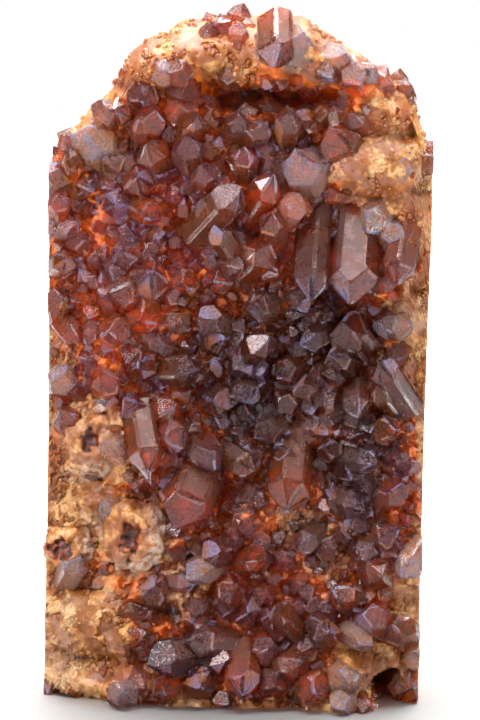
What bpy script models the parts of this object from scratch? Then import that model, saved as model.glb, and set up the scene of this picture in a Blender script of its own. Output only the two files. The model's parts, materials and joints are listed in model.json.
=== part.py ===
"""Raw citrine: a slab of massive quartz whose whole front is a druse of quartz points.

The piece stands upright on a sawn base. Its two sides are sawn as well, its top is a broken arch, and its
back is rough. The druse faces -Y. Lengths in the tables are millimetres, and M turns them into metres.
"""

import math
import random

import bmesh
import bpy
import numpy as np
from mathutils import Matrix, Vector, noise

M = 0.001

# Driving dimensions, in millimetres.
HEIGHT = 160.0
LEFT_SAW_X = -45.4
RIGHT_SAW_X = 42.6
SAW_LEAN = 0.022
BACK_AT_BASE = 28.6
BACK_AT_TOP = 17.0
CREST_Y = 5.0
# The body is made this much too large on three sides before the saw cuts.
OVERCUT = 4.0

# Rows of points up the body's front. The back has one for every BACK_STEP of them, both up and across.
ROWS = 23
BACK_STEP = 3

# Slope of quartz's six end faces: the normal of each stands this far from the crystal's long axis.
END_FACE_ANGLE = math.radians(51.8)
# How far each side face stands from the axis, and each end face from the tip, in radii. Three of the six end
# faces are large, because they are cut deeper, and the other three are small.
SIDE_FACE = (0.82, 1.08)
LARGE_END_FACE = (-0.12, 0.0)
SMALL_END_FACE = (-0.07, 0.28)
# Each crystal is sunk this deep in the body. The whole druse stands DRUSE_LIFT further out than its tables
# say, every width in them is multiplied by GIRTH and every lean by LEAN.
ROOT = 7.0
DRUSE_LIFT = 1.6
GIRTH = 0.9
LEAN = 1.5
# The crest is rounded over this height.
CREST_ROUNDING = 7.0

# The broken top edge, from left to right: (x, z). The body has one column of points under each.
TOP_EDGE = (
    (-50, 108), (-44.5, 116), (-42, 126), (-38.5, 132.5), (-35, 136), (-33, 139), (-29, 141.5), (-27, 145.5),
    (-24, 151), (-20, 154), (-15.5, 155), (-12, 158), (-5, 158.6), (2, 159.3), (9, 159.2), (15.5, 159),
    (19, 156), (24, 153), (30, 149.5), (34, 146), (38.5, 144), (41, 140.5), (43.5, 133), (46, 125), (50, 114),
)

# How far the front stands from the middle plane, up the height: (z, depth).
FRONT_PROFILE = ((-4, 15), (10, 13.5), (30, 11.5), (60, 9), (120, 8), (143, 9), (160, 7))

# Swells and hollows of the front: (x, z, half width, half height, rise). A negative rise is a hollow.
SWELLS = (
    (6, -2, 30, 18, 4),
    (27, -2, 12, 14, 5),
    (-46, 20, 20, 90, -9),
    (46, 40, 9, 60, -3),
    (-34, 17, 12, 8, 6),
    (-32, 4, 13, 5, 4),
    (-31, 60, 13, 12, 3),
    (-19, 58, 9, 8, 3),
    (-20, 20, 8, 5, -4),
    (-3, 47, 5, 6, -4),
    (20, 55, 12, 8, -4),
    (10, 38, 14, 9, 2),
    (-21, 90, 14, 12, 2),
    (-12, 106, 6, 8, -3),
    (4, 120, 18, 12, 3),
    (31, 125, 12, 7, 3),
    (33, 139, 12, 7, 3),
    (34, 108, 12, 14, 2),
    (25, 84, 14, 10, 1),
    (-16, 150, 14, 8, 6),
    (10, 151, 20, 8, 6),
    (30, 146, 8, 6, 3),
    (-36, 131, 8, 6, 2),
    (-30, 112, 10, 8, -2),
)

# Rounded lumps of milky quartz that swell out of the front: (x, z, half width, half height, rise).
LUMPS = (
    (-31.5, 60, 8, 7.5, 4.5),
    (-23, 38.5, 7.5, 8.5, 5.5),
    (-38.5, 34, 6.5, 5.5, 5),
    (31.5, 125, 10, 5, 4),
    (-31, 47, 6, 4.5, 4),
)

# The crystals: tip place (x, z), radius, rise of the tip over the body, and lean of the axis (x, z).
TOP_RIDGE = (
    (-4, 157.5, 3.2, 2, -0.1, 0.3), (7, 154, 4.2, 3, -0.1, 0.2), (9, 147, 4.8, 5, 0, -0.6),
    (15.5, 156, 5.6, 3, 0.3, 0.5), (22, 145, 3.2, 4, 0.2, -0.3), (32, 148, 3.2, 2, 0.5, 0.5),
    (28, 143, 4.6, 2.5, 0.1, -0.2), (-17.5, 147, 3.2, 2, -0.2, 0.1), (-12, 147, 3.4, 3, 0.1, 0.1),
    (-22, 139.5, 3.8, 4, -0.1, -0.2), (-12, 140.5, 4.2, 4, 0, -0.3), (-27.5, 138, 3.2, 3, -0.2, 0.1),
    (25.5, 151, 4.2, 2, 0.5, 0.4), (-35, 133.5, 5.6, 3, -0.3, 0.4),
)
UPPER_LEFT = (
    (-21.5, 137, 3.4, 4, -0.1, 0.7), (-17.5, 138, 3.8, 4.5, 0.3, 0.5), (-20.5, 130.5, 4, 4.5, -0.3, 0.5),
    (-30.5, 127.5, 4.6, 3.5, -0.3, 0.1), (-22.5, 123, 4.2, 5, 0, 0.2), (-27, 116.5, 3.8, 5, 0, 0),
    (-40.5, 119, 3.2, 4, 0, 0.6), (-17, 113, 3.2, 4, 0.6, -0.3), (-36, 112, 3, 4, 0.5, 0.2),
    (-38.5, 104, 3.2, 5, 0.2, 0.2), (-26.5, 106, 3.8, 4.5, -0.2, 0.2), (-19, 101.5, 5.2, 5.5, 0.1, 0.3),
    (-12.5, 98.5, 3.8, 4, -0.1, 0.1), (-29, 96.5, 4.2, 5, -0.5, 0.1), (-22, 90.5, 4.8, 5, -0.1, 0),
    (-29, 87.5, 4.4, 5, -0.2, 0), (-36, 84, 3.4, 4, 0.4, -0.4), (-42, 97, 3.4, 3, -0.1, 0.7),
)
UPPER_MIDDLE = (
    (-8.5, 137.5, 3.4, 5, 0.3, 0.7), (1, 137, 3.4, 6, 0.1, 0.5), (6.5, 135, 3.2, 5, 0.3, 0.4),
    (12.5, 138, 3.6, 6, 0.1, 0.6), (21, 134.5, 5.4, 6, -0.4, 0.6), (-11.5, 132, 3.6, 6, -0.1, 0.6),
    (-8, 126, 3.4, 4, -0.2, 0.6), (2, 130, 3.4, 4, 0, 0.8), (13.5, 129, 6, 6, -0.2, 0.5),
    (9, 123.5, 4.2, 4, 0.5, 0.8), (1.5, 121.5, 4.8, 6, 0.6, 0.7), (-8, 118.5, 4.2, 4.5, -0.4, 0.6),
    (15.5, 118, 3.6, 5, 0.5, 0.5), (8.5, 115.5, 3.8, 5, 0, 0.6), (-5, 112.5, 3.2, 6, -0.5, 0.8),
    (-3.5, 107.5, 3.8, 4, -0.6, -0.1), (8.5, 108, 4.8, 5, 0.6, 0.6), (2, 102, 3.2, 5, 0.5, 0),
    (10, 100.5, 3.6, 4, 0.3, -0.1), (-5, 99, 3.4, 4, -0.2, 0), (-9, 91, 4, 3.5, -0.5, 0.3),
    (2.5, 92.5, 3.8, 5, -0.5, 0), (-2, 86, 3.6, 4, 0.4, 0.2), (8, 86.5, 4.2, 5, 0.4, 0.5),
)
RIGHT_CLUSTER = (
    (17, 94.5, 4.6, 8, -0.1, -1), (26, 93.5, 6.2, 9, -0.1, -0.9), (36.5, 98, 4, 7, -0.2, -0.8),
    (24, 90, 5.4, 6, -0.4, 0.5), (33, 89.5, 3.6, 4, -0.3, 0.2), (41, 88, 3.4, 3, 0.6, 0),
    (21, 82, 3.8, 4.5, -0.6, 0.3), (15, 84, 3.2, 4, -0.7, -0.3), (32.5, 81, 4, 5, -0.5, 0.8),
    (24, 76, 3.4, 4, 0.2, -0.3), (32, 75, 3.2, 4, -0.4, 0.5), (40, 72.5, 3.6, 3, 0.4, 0.2),
    (30, 110, 4.2, 3, -0.2, -0.3), (39, 109, 3.8, 2.5, 0.7, -0.1), (39, 127, 3.4, 2.5, 0.4, 0.5),
)
MIDDLE = (
    (-8.5, 79, 3.4, 6, 0.6, 0.1), (-13.5, 80, 3.6, 4.5, -0.1, 0.4), (-0.5, 78.5, 4, 4.5, -0.3, 0),
    (9, 76.5, 3.4, 5, -0.5, -0.2), (15.5, 76, 3.4, 4, -0.1, 0.4), (-5, 71.5, 4, 4.5, -0.1, 0.1),
    (3, 70.5, 3.4, 4, 0.1, -0.4), (9.5, 68.5, 3.4, 4, -0.4, -0.4), (4, 62.5, 3.6, 4, -0.6, -0.3),
    (12.5, 59.5, 3.6, 6, 0.1, 0.3), (-4.5, 55, 4.6, 6, 0.3, -0.4), (4.5, 55, 3.2, 4, 0.6, -0.3),
    (28, 67, 4, 5, 0, -0.6), (37, 64.5, 3.8, 3.5, 0.4, 0.1), (20, 60, 3.4, 4, -0.4, 0.3),
    (26.5, 52.5, 3.6, 5, -0.1, -0.2), (33, 57, 3.4, 5, 0.6, 0), (39, 52, 4, 4, 0.5, 0.5),
    (30, 45.5, 3.8, 4, 0.5, -0.1), (38, 41.5, 3.8, 4, 0.8, 0.5), (12, 46, 5, 6, -0.1, -0.7),
    (-13, 71, 4, 4, 0.6, 0.4),
)
LEFT_LOWER = (
    (-39.5, 76.5, 4, 4, 0.1, 0.2), (-30, 78, 4.2, 4, 0, 0.5), (-22, 80, 4, 4, -0.1, 0.1),
    (-41, 68.5, 4, 3.5, -0.3, 0.6), (-22, 71, 4.2, 4, 0.2, 0.3), (-27.5, 63, 4, 3, 0, 0.5),
    (-19.5, 54.5, 4.6, 5, 0.2, -0.9), (-16.5, 63, 4.6, 5, -0.2, 0), (-31, 47.5, 4.4, 4, -0.4, 0.4),
    (-14, 42, 6.6, 7, -0.3, -0.7), (-36, 34, 4, 3.5, 0.3, 0.6),
)
LOWER_MIDDLE = (
    (-3, 37, 4.6, 6, 0.2, 0.2), (-11.5, 30, 4, 5, -0.6, -0.3), (-18.5, 28.5, 4.2, 4, 0, 0.3),
    (0.5, 29, 4, 5, 0.3, 0.5), (7, 35.5, 3.8, 5, 0.4, 0.2), (14, 37, 3.6, 4.5, -0.3, -0.2),
    (9, 24.5, 3.6, 6, -0.5, 0.8), (2.5, 22, 4.4, 5, 0, 0.1), (17, 22, 3.6, 4, -0.5, 0.6),
    (22, 28, 3.8, 4, -0.5, 0.5), (22, 18.5, 3.6, 6, 0.2, 0.2), (29, 22.5, 4.2, 5, -0.5, 0.4),
    (36, 20, 4.2, 5, -0.3, 0.4), (32, 14.5, 3.6, 4, 0.6, -0.2), (30, 34, 4, 4, -0.4, 0.5),
    (38, 30, 4, 4, -0.4, -0.4), (40.5, 13, 3.6, 3, -0.3, 0.4), (9, 15.5, 3.8, 5, 0.4, 0.5),
    (16, 12, 4, 5, 0.6, 0.4), (-1, 12.5, 3.8, 4, 0.4, 0.3), (-12, 16, 4.8, 5, -1.1, 0.3),
    (-21, 10.5, 5, 5, -1.2, -0.1),
)
FOOT = (
    (-26, 5, 4, 3.5, 0, 0.3), (-16, 4, 4.2, 4, 0, 0), (-8, 5.5, 4.4, 4, 0, 0), (1.5, 4, 4.2, 5, 0, -0.5),
    (9.5, 6, 4.2, 4.5, 0.1, 0), (18, 5, 4.4, 5, 0, 0), (26, 7, 4, 5, 0.1, 0), (25, 1.5, 3.6, 3, 0, -0.1),
    (40.5, 4, 4, 1.5, 0.1, 0.1),
)
CRYSTALS = (
    TOP_RIDGE + UPPER_LEFT + UPPER_MIDDLE + RIGHT_CLUSTER + MIDDLE + LEFT_LOWER + LOWER_MIDDLE + FOOT
)

# The dark cave under the top ridge, and the hollow at the right foot: (centre, half sizes).
CAVE = ((8, -9, 140), (19, 12, 4))
CAVE_LEFT = ((-6, -9, 141), (9, 9, 3.2))
FOOT_HOLLOW = ((35.5, -15, 2), (4.6, 11, 6))


def clear_scene():
    for obj in list(bpy.data.objects):
        bpy.data.objects.remove(obj)


def read_curve(points, at):
    """The height of a broken line, given by its corners, at one place."""
    places, heights = zip(*points)
    return float(np.interp(at, places, heights))


def rough(x, z, size, seed):
    """Uneven height between about -1 and 1, with lumps of the given size."""
    return noise.fractal(Vector((x / size, z / size, seed)), 1.0, 2.0, 3)


def front_depth(x, z):
    """How far the body's front stands from the middle plane, towards -Y."""
    depth = read_curve(FRONT_PROFILE, z) + 1.3 * rough(x, z, 7.0, 3.0)
    for swell_x, swell_z, half_x, half_z, rise in SWELLS:
        away = ((x - swell_x) / half_x) ** 2 + ((z - swell_z) / half_z) ** 2
        if away < 1:
            depth += rise * (1 - away) ** 0.65
    return depth


def back_depth(x, z):
    """How far the broken back stands from the middle plane, towards +Y."""
    flat = BACK_AT_BASE + (BACK_AT_TOP - BACK_AT_BASE) * max(0.0, z) / HEIGHT
    lumps = 3.2 * rough(x, z, 26.0, 11.0) + 1.2 * rough(x, z, 9.0, 17.0)
    sides = 4.0 * (abs(x) / 45) ** 3
    return flat - 3.0 - sides + lumps


def new_object(name, bm):
    mesh = bpy.data.meshes.new(name)
    bm.to_mesh(mesh)
    bm.free()
    obj = bpy.data.objects.new(name, mesh)
    bpy.context.scene.collection.objects.link(obj)
    return obj


def place(x, y, z):
    return Vector((x, y, z)) * M


def close_strip(bm, fine, coarse):
    """Faces between a row of points and one with a point for every BACK_STEP of them."""
    for k in range(len(coarse) - 1):
        edge = fine[BACK_STEP * k : BACK_STEP * (k + 1) + 1]
        bm.faces.new((coarse[k + 1], coarse[k], *edge))


def make_body():
    """A slab with an uneven front and back that meet at the crest. It runs past the three saw cuts."""
    bm = bmesh.new()
    front = []
    back = []
    crest = []
    for x, top in TOP_EDGE:
        crest.append(bm.verts.new(place(x, CREST_Y + 2 * rough(x, top, 9.0, 5.0), top)))
        front_column = []
        back_column = []
        for share in np.linspace(0, 1, ROWS)[:-1]:
            z = -OVERCUT + (top + OVERCUT) * share
            rounding = math.sqrt(1 - max(0.0, 1 - (top - z) / CREST_ROUNDING) ** 2)
            front_y = CREST_Y - (CREST_Y + front_depth(x, z)) * rounding
            back_y = CREST_Y + (back_depth(x, z) - CREST_Y) * rounding
            front_column.append(bm.verts.new(place(x, front_y, z)))
            back_column.append((x, back_y, z))
        front.append(front_column)
        back.append(back_column)

    for left, right, crest_left, crest_right in zip(front, front[1:], crest, crest[1:]):
        for low_left, low_right, high_right, high_left in zip(left, right, right[1:], left[1:]):
            bm.faces.new((low_left, low_right, high_right, high_left))
        bm.faces.new((left[-1], right[-1], crest_right, crest_left))

    coarse = []
    for column in back[::BACK_STEP]:
        coarse.append([bm.verts.new(place(*point)) for point in column[::BACK_STEP]])
    for left, right in zip(coarse, coarse[1:]):
        for low_left, low_right, high_right, high_left in zip(left, right, right[1:], left[1:]):
            bm.faces.new((low_right, low_left, high_left, high_right))
    close_strip(bm, crest, [column[-1] for column in coarse])
    close_strip(bm, [column[0] for column in front], [column[0] for column in coarse])
    for fine, rough_edge, top in ((front[0], coarse[0], crest[0]), (front[-1], coarse[-1], crest[-1])):
        close_strip(bm, fine, rough_edge)
        bm.faces.new((fine[-1], top, rough_edge[-1]))
    bm.normal_update()
    bmesh.ops.triangulate(bm, faces=bm.faces[:])
    bmesh.ops.recalc_face_normals(bm, faces=bm.faces[:])
    return new_object("raw_citrine", bm)


def cut_away(bm, point, normal):
    """Takes off what lies beyond a plane and closes the cut with one flat face."""
    everything = bm.verts[:] + bm.edges[:] + bm.faces[:]
    cut = bmesh.ops.bisect_plane(bm, geom=everything, plane_co=point, plane_no=normal, clear_outer=True)
    edges = [item for item in cut["geom_cut"] if isinstance(item, bmesh.types.BMEdge)]
    if edges:
        bmesh.ops.contextual_create(bm, geom=edges)


def make_point(name, radius, length, rng):
    """A six-sided quartz crystal along -Z, tip at the origin, closed by three large and three small faces."""
    bm = bmesh.new()
    bmesh.ops.create_cube(bm, size=4 * length * M, matrix=Matrix.Translation((0, 0, -1.5 * length * M)))
    cut_away(bm, Vector((0, 0, -length * M)), Vector((0, 0, -1)))
    for side in range(6):
        turn = math.radians(60 * side)
        outward = Vector((math.cos(turn), math.sin(turn), 0))
        cut_away(bm, outward * radius * rng.uniform(*SIDE_FACE) * M, outward)
        slope = outward * math.sin(END_FACE_ANGLE) + Vector((0, 0, math.cos(END_FACE_ANGLE)))
        end_face = LARGE_END_FACE if side % 2 == 0 else SMALL_END_FACE
        cut_away(bm, slope * radius * rng.uniform(*end_face) * M, slope)
    bmesh.ops.recalc_face_normals(bm, faces=bm.faces[:])
    return new_object(name, bm)


def make_crystals():
    """Every crystal, rooted in the body, in a collection of its own."""
    crystals = bpy.data.collections.new("crystals")
    rng = random.Random(12)
    for number, (x, z, radius, rise, lean_x, lean_z) in enumerate(CRYSTALS):
        axis = Vector((LEAN * lean_x, -1, LEAN * lean_z)).normalized()
        lift = rise + DRUSE_LIFT
        length = lift / -axis.y + ROOT
        point = make_point(f"crystal_{number:03d}", radius * GIRTH, length, rng)
        spin = Matrix.Rotation(rng.uniform(0, math.pi / 3), 3, "Z")
        turn = axis.to_track_quat("Z", "Y").to_matrix() @ spin
        tip = place(x, -front_depth(x, z) - lift, z)
        point.data.transform(Matrix.Translation(tip) @ turn.to_4x4())
        hide_helper(point, crystals)
    return crystals


def make_lumps(crystals):
    """The rounded lumps, in the crystals' collection, because they are joined in the same way."""
    for number, (x, z, half_x, half_z, rise) in enumerate(LUMPS):
        bm = bmesh.new()
        bmesh.ops.create_icosphere(bm, subdivisions=2, radius=1.0)
        centre_y = -front_depth(x, z) + 0.3 * rise
        for vert in bm.verts:
            swell = 1 + 0.22 * rough(vert.co.x, vert.co.z + vert.co.y, 0.8, number + 40.0)
            offset = vert.co * swell
            vert.co = place(x + half_x * offset.x, centre_y + 1.3 * rise * offset.y, z + half_z * offset.z)
        hide_helper(new_object(f"lump_{number}", bm), crystals)


def make_hollows():
    """Rough rounded cutters for the cave under the ridge and for the hollow at the foot."""
    hollows = bpy.data.collections.new("hollows")
    for number, (centre, half_sizes) in enumerate((CAVE, CAVE_LEFT, FOOT_HOLLOW)):
        bm = bmesh.new()
        bmesh.ops.create_icosphere(bm, subdivisions=2, radius=1.0)
        for vert in bm.verts:
            swell = 1 + 0.18 * rough(vert.co.x, vert.co.z + vert.co.y, 0.7, number + 20.0)
            vert.co = place(*(c + s * v * swell for c, s, v in zip(centre, half_sizes, vert.co)))
        hide_helper(new_object(f"hollow_{number}", bm), hollows)
    return hollows


def make_saw_block():
    """What the saw left: the room between the two side cuts and above the base cut."""
    bm = bmesh.new()
    bmesh.ops.create_cube(bm, size=1.0)
    for vert in bm.verts:
        z = 0.0 if vert.co.z < 0 else HEIGHT + 20
        x = (RIGHT_SAW_X if vert.co.x > 0 else LEFT_SAW_X) + SAW_LEAN * z
        vert.co = place(x, 90 * vert.co.y, z)
    return new_object("saw_block", bm)


def hide_helper(obj, collection=None):
    obj.hide_render = True
    obj.display_type = "WIRE"
    if collection:
        bpy.context.scene.collection.objects.unlink(obj)
        collection.objects.link(obj)


def add_boolean(obj, name, operation, operand):
    modifier = obj.modifiers.new(name, "BOOLEAN")
    modifier.operation = operation
    modifier.solver = "EXACT"
    if isinstance(operand, bpy.types.Collection):
        modifier.operand_type = "COLLECTION"
        modifier.collection = operand
    else:
        modifier.object = operand


def quartz_material():
    material = bpy.data.materials.new("citrine_quartz")
    material.use_nodes = True
    shader = material.node_tree.nodes["Principled BSDF"]
    shader.inputs["Base Color"].default_value = (0.42, 0.2, 0.1, 1)
    shader.inputs["Roughness"].default_value = 0.15
    shader.inputs["Metallic"].default_value = 0.0
    return material


def main():
    clear_scene()
    body = make_body()
    body.data.materials.append(quartz_material())
    crystals = make_crystals()
    make_lumps(crystals)
    hollows = make_hollows()
    saw_block = make_saw_block()
    hide_helper(saw_block)
    add_boolean(body, "hollows", "DIFFERENCE", hollows)
    add_boolean(body, "crystals", "UNION", crystals)
    add_boolean(body, "saw cuts", "INTERSECT", saw_block)


main()
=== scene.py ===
# %% [markdown]
# # Raw citrine
# This piece is a slab cut from the wall of a crystal pocket. Its body is massive quartz, and its whole front
# is a druse: hundreds of quartz points that grew side by side. Iron stained the quartz orange and red, and
# the tips stayed violet or went milky. We load the solid of the slab first. It fixes the size and the place
# of everything that follows, and it is never moved.

# %% Load the fixed frame
import json
import math
import random

import bmesh
import bpy
import numpy as np
from mathutils import Matrix, Vector, noise

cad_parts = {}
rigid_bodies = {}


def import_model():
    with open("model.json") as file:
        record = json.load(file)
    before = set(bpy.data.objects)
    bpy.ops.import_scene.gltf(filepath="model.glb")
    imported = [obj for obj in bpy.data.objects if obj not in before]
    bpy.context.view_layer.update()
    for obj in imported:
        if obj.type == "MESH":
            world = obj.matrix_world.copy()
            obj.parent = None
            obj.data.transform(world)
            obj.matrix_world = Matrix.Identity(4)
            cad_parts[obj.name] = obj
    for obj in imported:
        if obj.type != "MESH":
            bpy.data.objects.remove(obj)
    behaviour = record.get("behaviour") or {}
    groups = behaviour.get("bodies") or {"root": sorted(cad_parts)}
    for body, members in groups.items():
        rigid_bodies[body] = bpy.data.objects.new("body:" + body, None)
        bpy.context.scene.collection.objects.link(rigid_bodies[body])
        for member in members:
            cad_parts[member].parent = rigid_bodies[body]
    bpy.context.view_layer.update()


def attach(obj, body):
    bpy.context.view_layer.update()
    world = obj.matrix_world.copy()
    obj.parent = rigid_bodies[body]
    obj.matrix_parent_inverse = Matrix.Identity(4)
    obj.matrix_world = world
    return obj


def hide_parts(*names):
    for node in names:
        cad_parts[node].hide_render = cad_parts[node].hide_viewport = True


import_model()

M = 0.001

# %% [markdown]
# ## The camera
# The stone was looked at from a little above its middle and from straight ahead. A long lens from 60 cm
# keeps its sawn sides nearly upright. All of the camera's numbers come from the stone's own millimetres.

# %% Camera
CAMERA_TARGET = Vector((0.00104, 0.0, 0.0788))
CAMERA_DISTANCE = 0.6
CAMERA_ELEVATION = math.radians(8)

camera_data = bpy.data.cameras.new("camera")
camera_data.lens = 127.8
camera_data.sensor_width = 36
camera_data.clip_start = 0.01
camera = bpy.data.objects.new("camera", camera_data)
away = Vector((0, -math.cos(CAMERA_ELEVATION), math.sin(CAMERA_ELEVATION)))
camera.location = CAMERA_TARGET + CAMERA_DISTANCE * away
camera.rotation_euler = (math.pi / 2 - CAMERA_ELEVATION, 0, 0)
bpy.context.scene.collection.objects.link(camera)
bpy.context.scene.camera = camera

# %% [markdown]
# ## The slab's measures
# These are the same numbers that the solid was made from, in millimetres. The body needs them again, much
# more finely, because a solid has few faces while the real stone is rough down to a tenth of a millimetre.

# %% Measures of the slab
LEFT_SAW_X = -45.4
RIGHT_SAW_X = 42.6
SAW_LEAN = 0.022
HEIGHT = 160.0
BACK_AT_BASE = 28.6
BACK_AT_TOP = 17.0
CREST_Y = 5.0
CREST_ROUNDING = 7.0

# The broken top edge from left to right: (x, z).
TOP_EDGE = (
    (-50, 108), (-44.5, 116), (-42, 126), (-38.5, 132.5), (-35, 136), (-33, 139), (-29, 141.5),
    (-27, 145.5), (-24, 151), (-20, 154), (-15.5, 155), (-12, 158), (-5, 158.6), (2, 159.3), (9, 159.2),
    (15.5, 159), (19, 156), (24, 153), (30, 149.5), (34, 146), (38.5, 144), (41, 140.5), (43.5, 133),
    (46, 125), (50, 114),
)

# How far the front stands from the middle plane, up the height: (z, depth).
FRONT_PROFILE = ((-4, 15), (10, 13.5), (30, 11.5), (60, 9), (120, 8), (143, 9), (160, 7))

# Swells and hollows of the front: (x, z, half width, half height, rise).
SWELLS = (
    (6, -2, 30, 18, 4), (27, -2, 12, 14, 5), (-46, 20, 20, 90, -9), (46, 40, 9, 60, -3),
    (-34, 17, 12, 8, 6), (-32, 4, 13, 5, 4), (-31, 60, 13, 12, 3), (-19, 58, 9, 8, 3),
    (-20, 20, 8, 5, -4), (-3, 47, 5, 6, -4), (20, 55, 12, 8, -4), (10, 38, 14, 9, 2),
    (-21, 90, 14, 12, 2), (-12, 106, 6, 8, -3), (4, 120, 18, 12, 3), (31, 125, 12, 7, 3),
    (33, 139, 12, 7, 3), (34, 108, 12, 14, 2), (25, 84, 14, 10, 1), (-16, 150, 14, 8, 6),
    (10, 151, 20, 8, 6), (30, 146, 8, 6, 3), (-36, 131, 8, 6, 2), (-30, 112, 10, 8, -2),
)

# Rounded lumps of milky quartz: (x, z, half width, half height, rise).
LUMPS = (
    (-31.5, 60, 8, 7.5, 4.5), (-23, 38.5, 7.5, 8.5, 5.5), (-38.5, 34, 6.5, 5.5, 5),
    (31.5, 125, 10, 5, 4), (-31, 47, 6, 4.5, 4),
)

# The cave under the top ridge in two parts, and the hollow at the right foot: (centre, half sizes).
HOLLOWS = (((8, -9, 140), (19, 12, 4)), ((-6, -9, 141), (9, 9, 3.2)), ((35.5, -15, 2), (4.6, 11, 6)))


# %% The shape of the front and the back
# Part of Blender's noise starts from the clock unless it is given a number.
noise.seed_set(12)

def read_curve(points, at):
    """The height of a broken line, given by its corners, at one place."""
    places, heights = zip(*points)
    return float(np.interp(at, places, heights))


def rough(x, z, size, seed):
    """Uneven height between about -1 and 1, with lumps of the given size."""
    return noise.fractal(Vector((x / size, z / size, seed)), 1.0, 2.0, 3)


def front_depth(x, z):
    """How far the body's front stands from the middle plane, towards -Y."""
    depth = read_curve(FRONT_PROFILE, z) + 1.3 * rough(x, z, 7.0, 3.0)
    for swell_x, swell_z, half_x, half_z, rise in SWELLS:
        off = ((x - swell_x) / half_x) ** 2 + ((z - swell_z) / half_z) ** 2
        if off < 1:
            depth += rise * (1 - off) ** 0.65
    return depth


def back_depth(x, z):
    """How far the broken back stands from the middle plane, towards +Y."""
    flat = BACK_AT_BASE + (BACK_AT_TOP - BACK_AT_BASE) * max(0.0, z) / HEIGHT
    lumps = 3.2 * rough(x, z, 26.0, 11.0) + 1.2 * rough(x, z, 9.0, 17.0)
    sides = 4.0 * (abs(x) / 45) ** 3
    return flat - 3.0 - sides + lumps


def carve(x, y, z):
    """Moves a point of the front back to the far wall of a hollow that it lies in."""
    for (cx, cy, cz), (half_x, half_y, half_z) in HOLLOWS:
        off = ((x - cx) / half_x) ** 2 + ((z - cz) / half_z) ** 2 + 0.5 * rough(x, z, 4.0, 19.0)
        if off < 1:
            reach = half_y * math.sqrt(min(1.0, 1 - off))
            if y > cy - reach - 1.5:
                y = max(y, cy + reach + 1.2 * rough(x, z, 3.0, 8.0))
    return y


# %% [markdown]
# ## Where the stone is stained
# The colours of the stone lie in patches: iron made orange and rust-red ones, amethyst is violet, smoky
# quartz is nearly black, and massive quartz without crystals is milky, cream or honey. They could be
# painted by hand on a texture, but soft ovals with a place, a size and a strength are easier to move. The
# four stains become four attributes that every material reads, so a crystal and the stone under it take
# the same stain. A fifth list says where the quartz stayed massive and no druse grew.

# %% Stain patches
# Each row: place (x, z), half width, half height, strength.
IRON = (
    (-40.5, 114, 4, 5, 1), (-7, 122, 6, 4, 1), (-22, 104, 20, 20, 0.6), (-20.5, 88, 8, 5, 1),
    (-33, 82, 9, 7, 0.9), (-0.5, 156, 5, 4, 0.8), (-2, 151, 5, 5, 0.6), (-20.5, 140, 5, 4, 0.8),
    (-10, 142, 8, 6, 0.6), (-16, 147, 12, 5, 0.5), (17, 148.5, 9, 5, 0.5), (18.5, 144, 8, 3, 0.7),
    (28.5, 143.5, 7, 5, 0.8), (43, 104, 2, 5, 0.8), (38.5, 137, 5, 3, 0.7), (30, 134, 6, 3, 0.7),
    (29, 116, 8, 4, 0.5), (16, 112, 5, 9, 0.7), (8, 110, 10, 9, 0.8), (13.7, 50, 6, 6, 1),
    (21, 61, 9, 4, 0.9), (-7.5, 61, 5, 7, 0.8), (-25, 38, 4, 6, 0.9), (-41.5, 34, 4, 4, 0.9),
    (-38, 27, 8, 3, 0.7), (-1.5, 31, 6, 4, 0.8), (2, 11, 7, 5, 0.7), (32.5, 20, 3, 5, 0.9),
    (38.5, 33, 4, 6, 0.5), (37, 47, 5, 4, 0.4), (-17.5, 3, 5, 4, 0.8), (-23, 6, 4, 5, 0.8),
    (-16, 118, 8, 6, 0.8), (-30, 110, 7, 8, 0.9), (-12, 106, 6, 7, 0.9), (-26, 98, 9, 6, 0.9),
    (4, 115, 6, 5, 0.9), (4, 151, 24, 8, 0.45), (-18, 146, 14, 8, 0.4), (36, 113, 10, 8, 0.35),
    (10, 90, 10, 5, 0.5), (-40, 90, 6, 10, 0.7), (-42, 60, 4, 8, 0.6), (38, 75, 6, 5, 0.4),
)
AMETHYST = (
    (-14, 112, 28, 26, 0.9), (10, 122, 22, 18, 0.7), (-25, 75, 16, 10, 0.8), (27, 104, 14, 12, 0.7),
    (2, 25, 24, 22, 0.8), (34, 48, 13, 16, 0.9), (-10, 52, 14, 16, 0.8), (-14, 11, 12, 6, 1),
    (-3, 157, 4, 4, 0.6), (13, 147, 4, 5, 0.6), (-24, 141, 4, 4, 0.6), (5, 80, 20, 16, 0.9),
    (22, 95, 10, 8, 0.9), (-26, 4, 10, 3, 0.7), (6, 6, 20, 6, 0.6),
)
SMOKE = (
    (10, 86, 14, 12, 0.85), (25, 84, 14, 11, 0.9), (19, 95, 9, 7, 0.8), (5, 70, 16, 12, 0.9),
    (24, 40, 13, 9, 0.5), (-14.7, 11, 10, 5, 0.8), (25, 22, 9, 9, 0.3), (32.5, 7, 5, 5, 0.7),
    (0, 140.5, 7, 3, 0.6), (27, 62, 14, 12, 0.75), (-8, 85, 12, 12, 0.5), (0, 60, 12, 8, 0.5),
    (27, 50, 9, 10, 0.6), (11, 54, 12, 11, 0.5), (20, 42, 10, 9, 0.4), (12, 148, 3, 5, 0.8),
)
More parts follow.
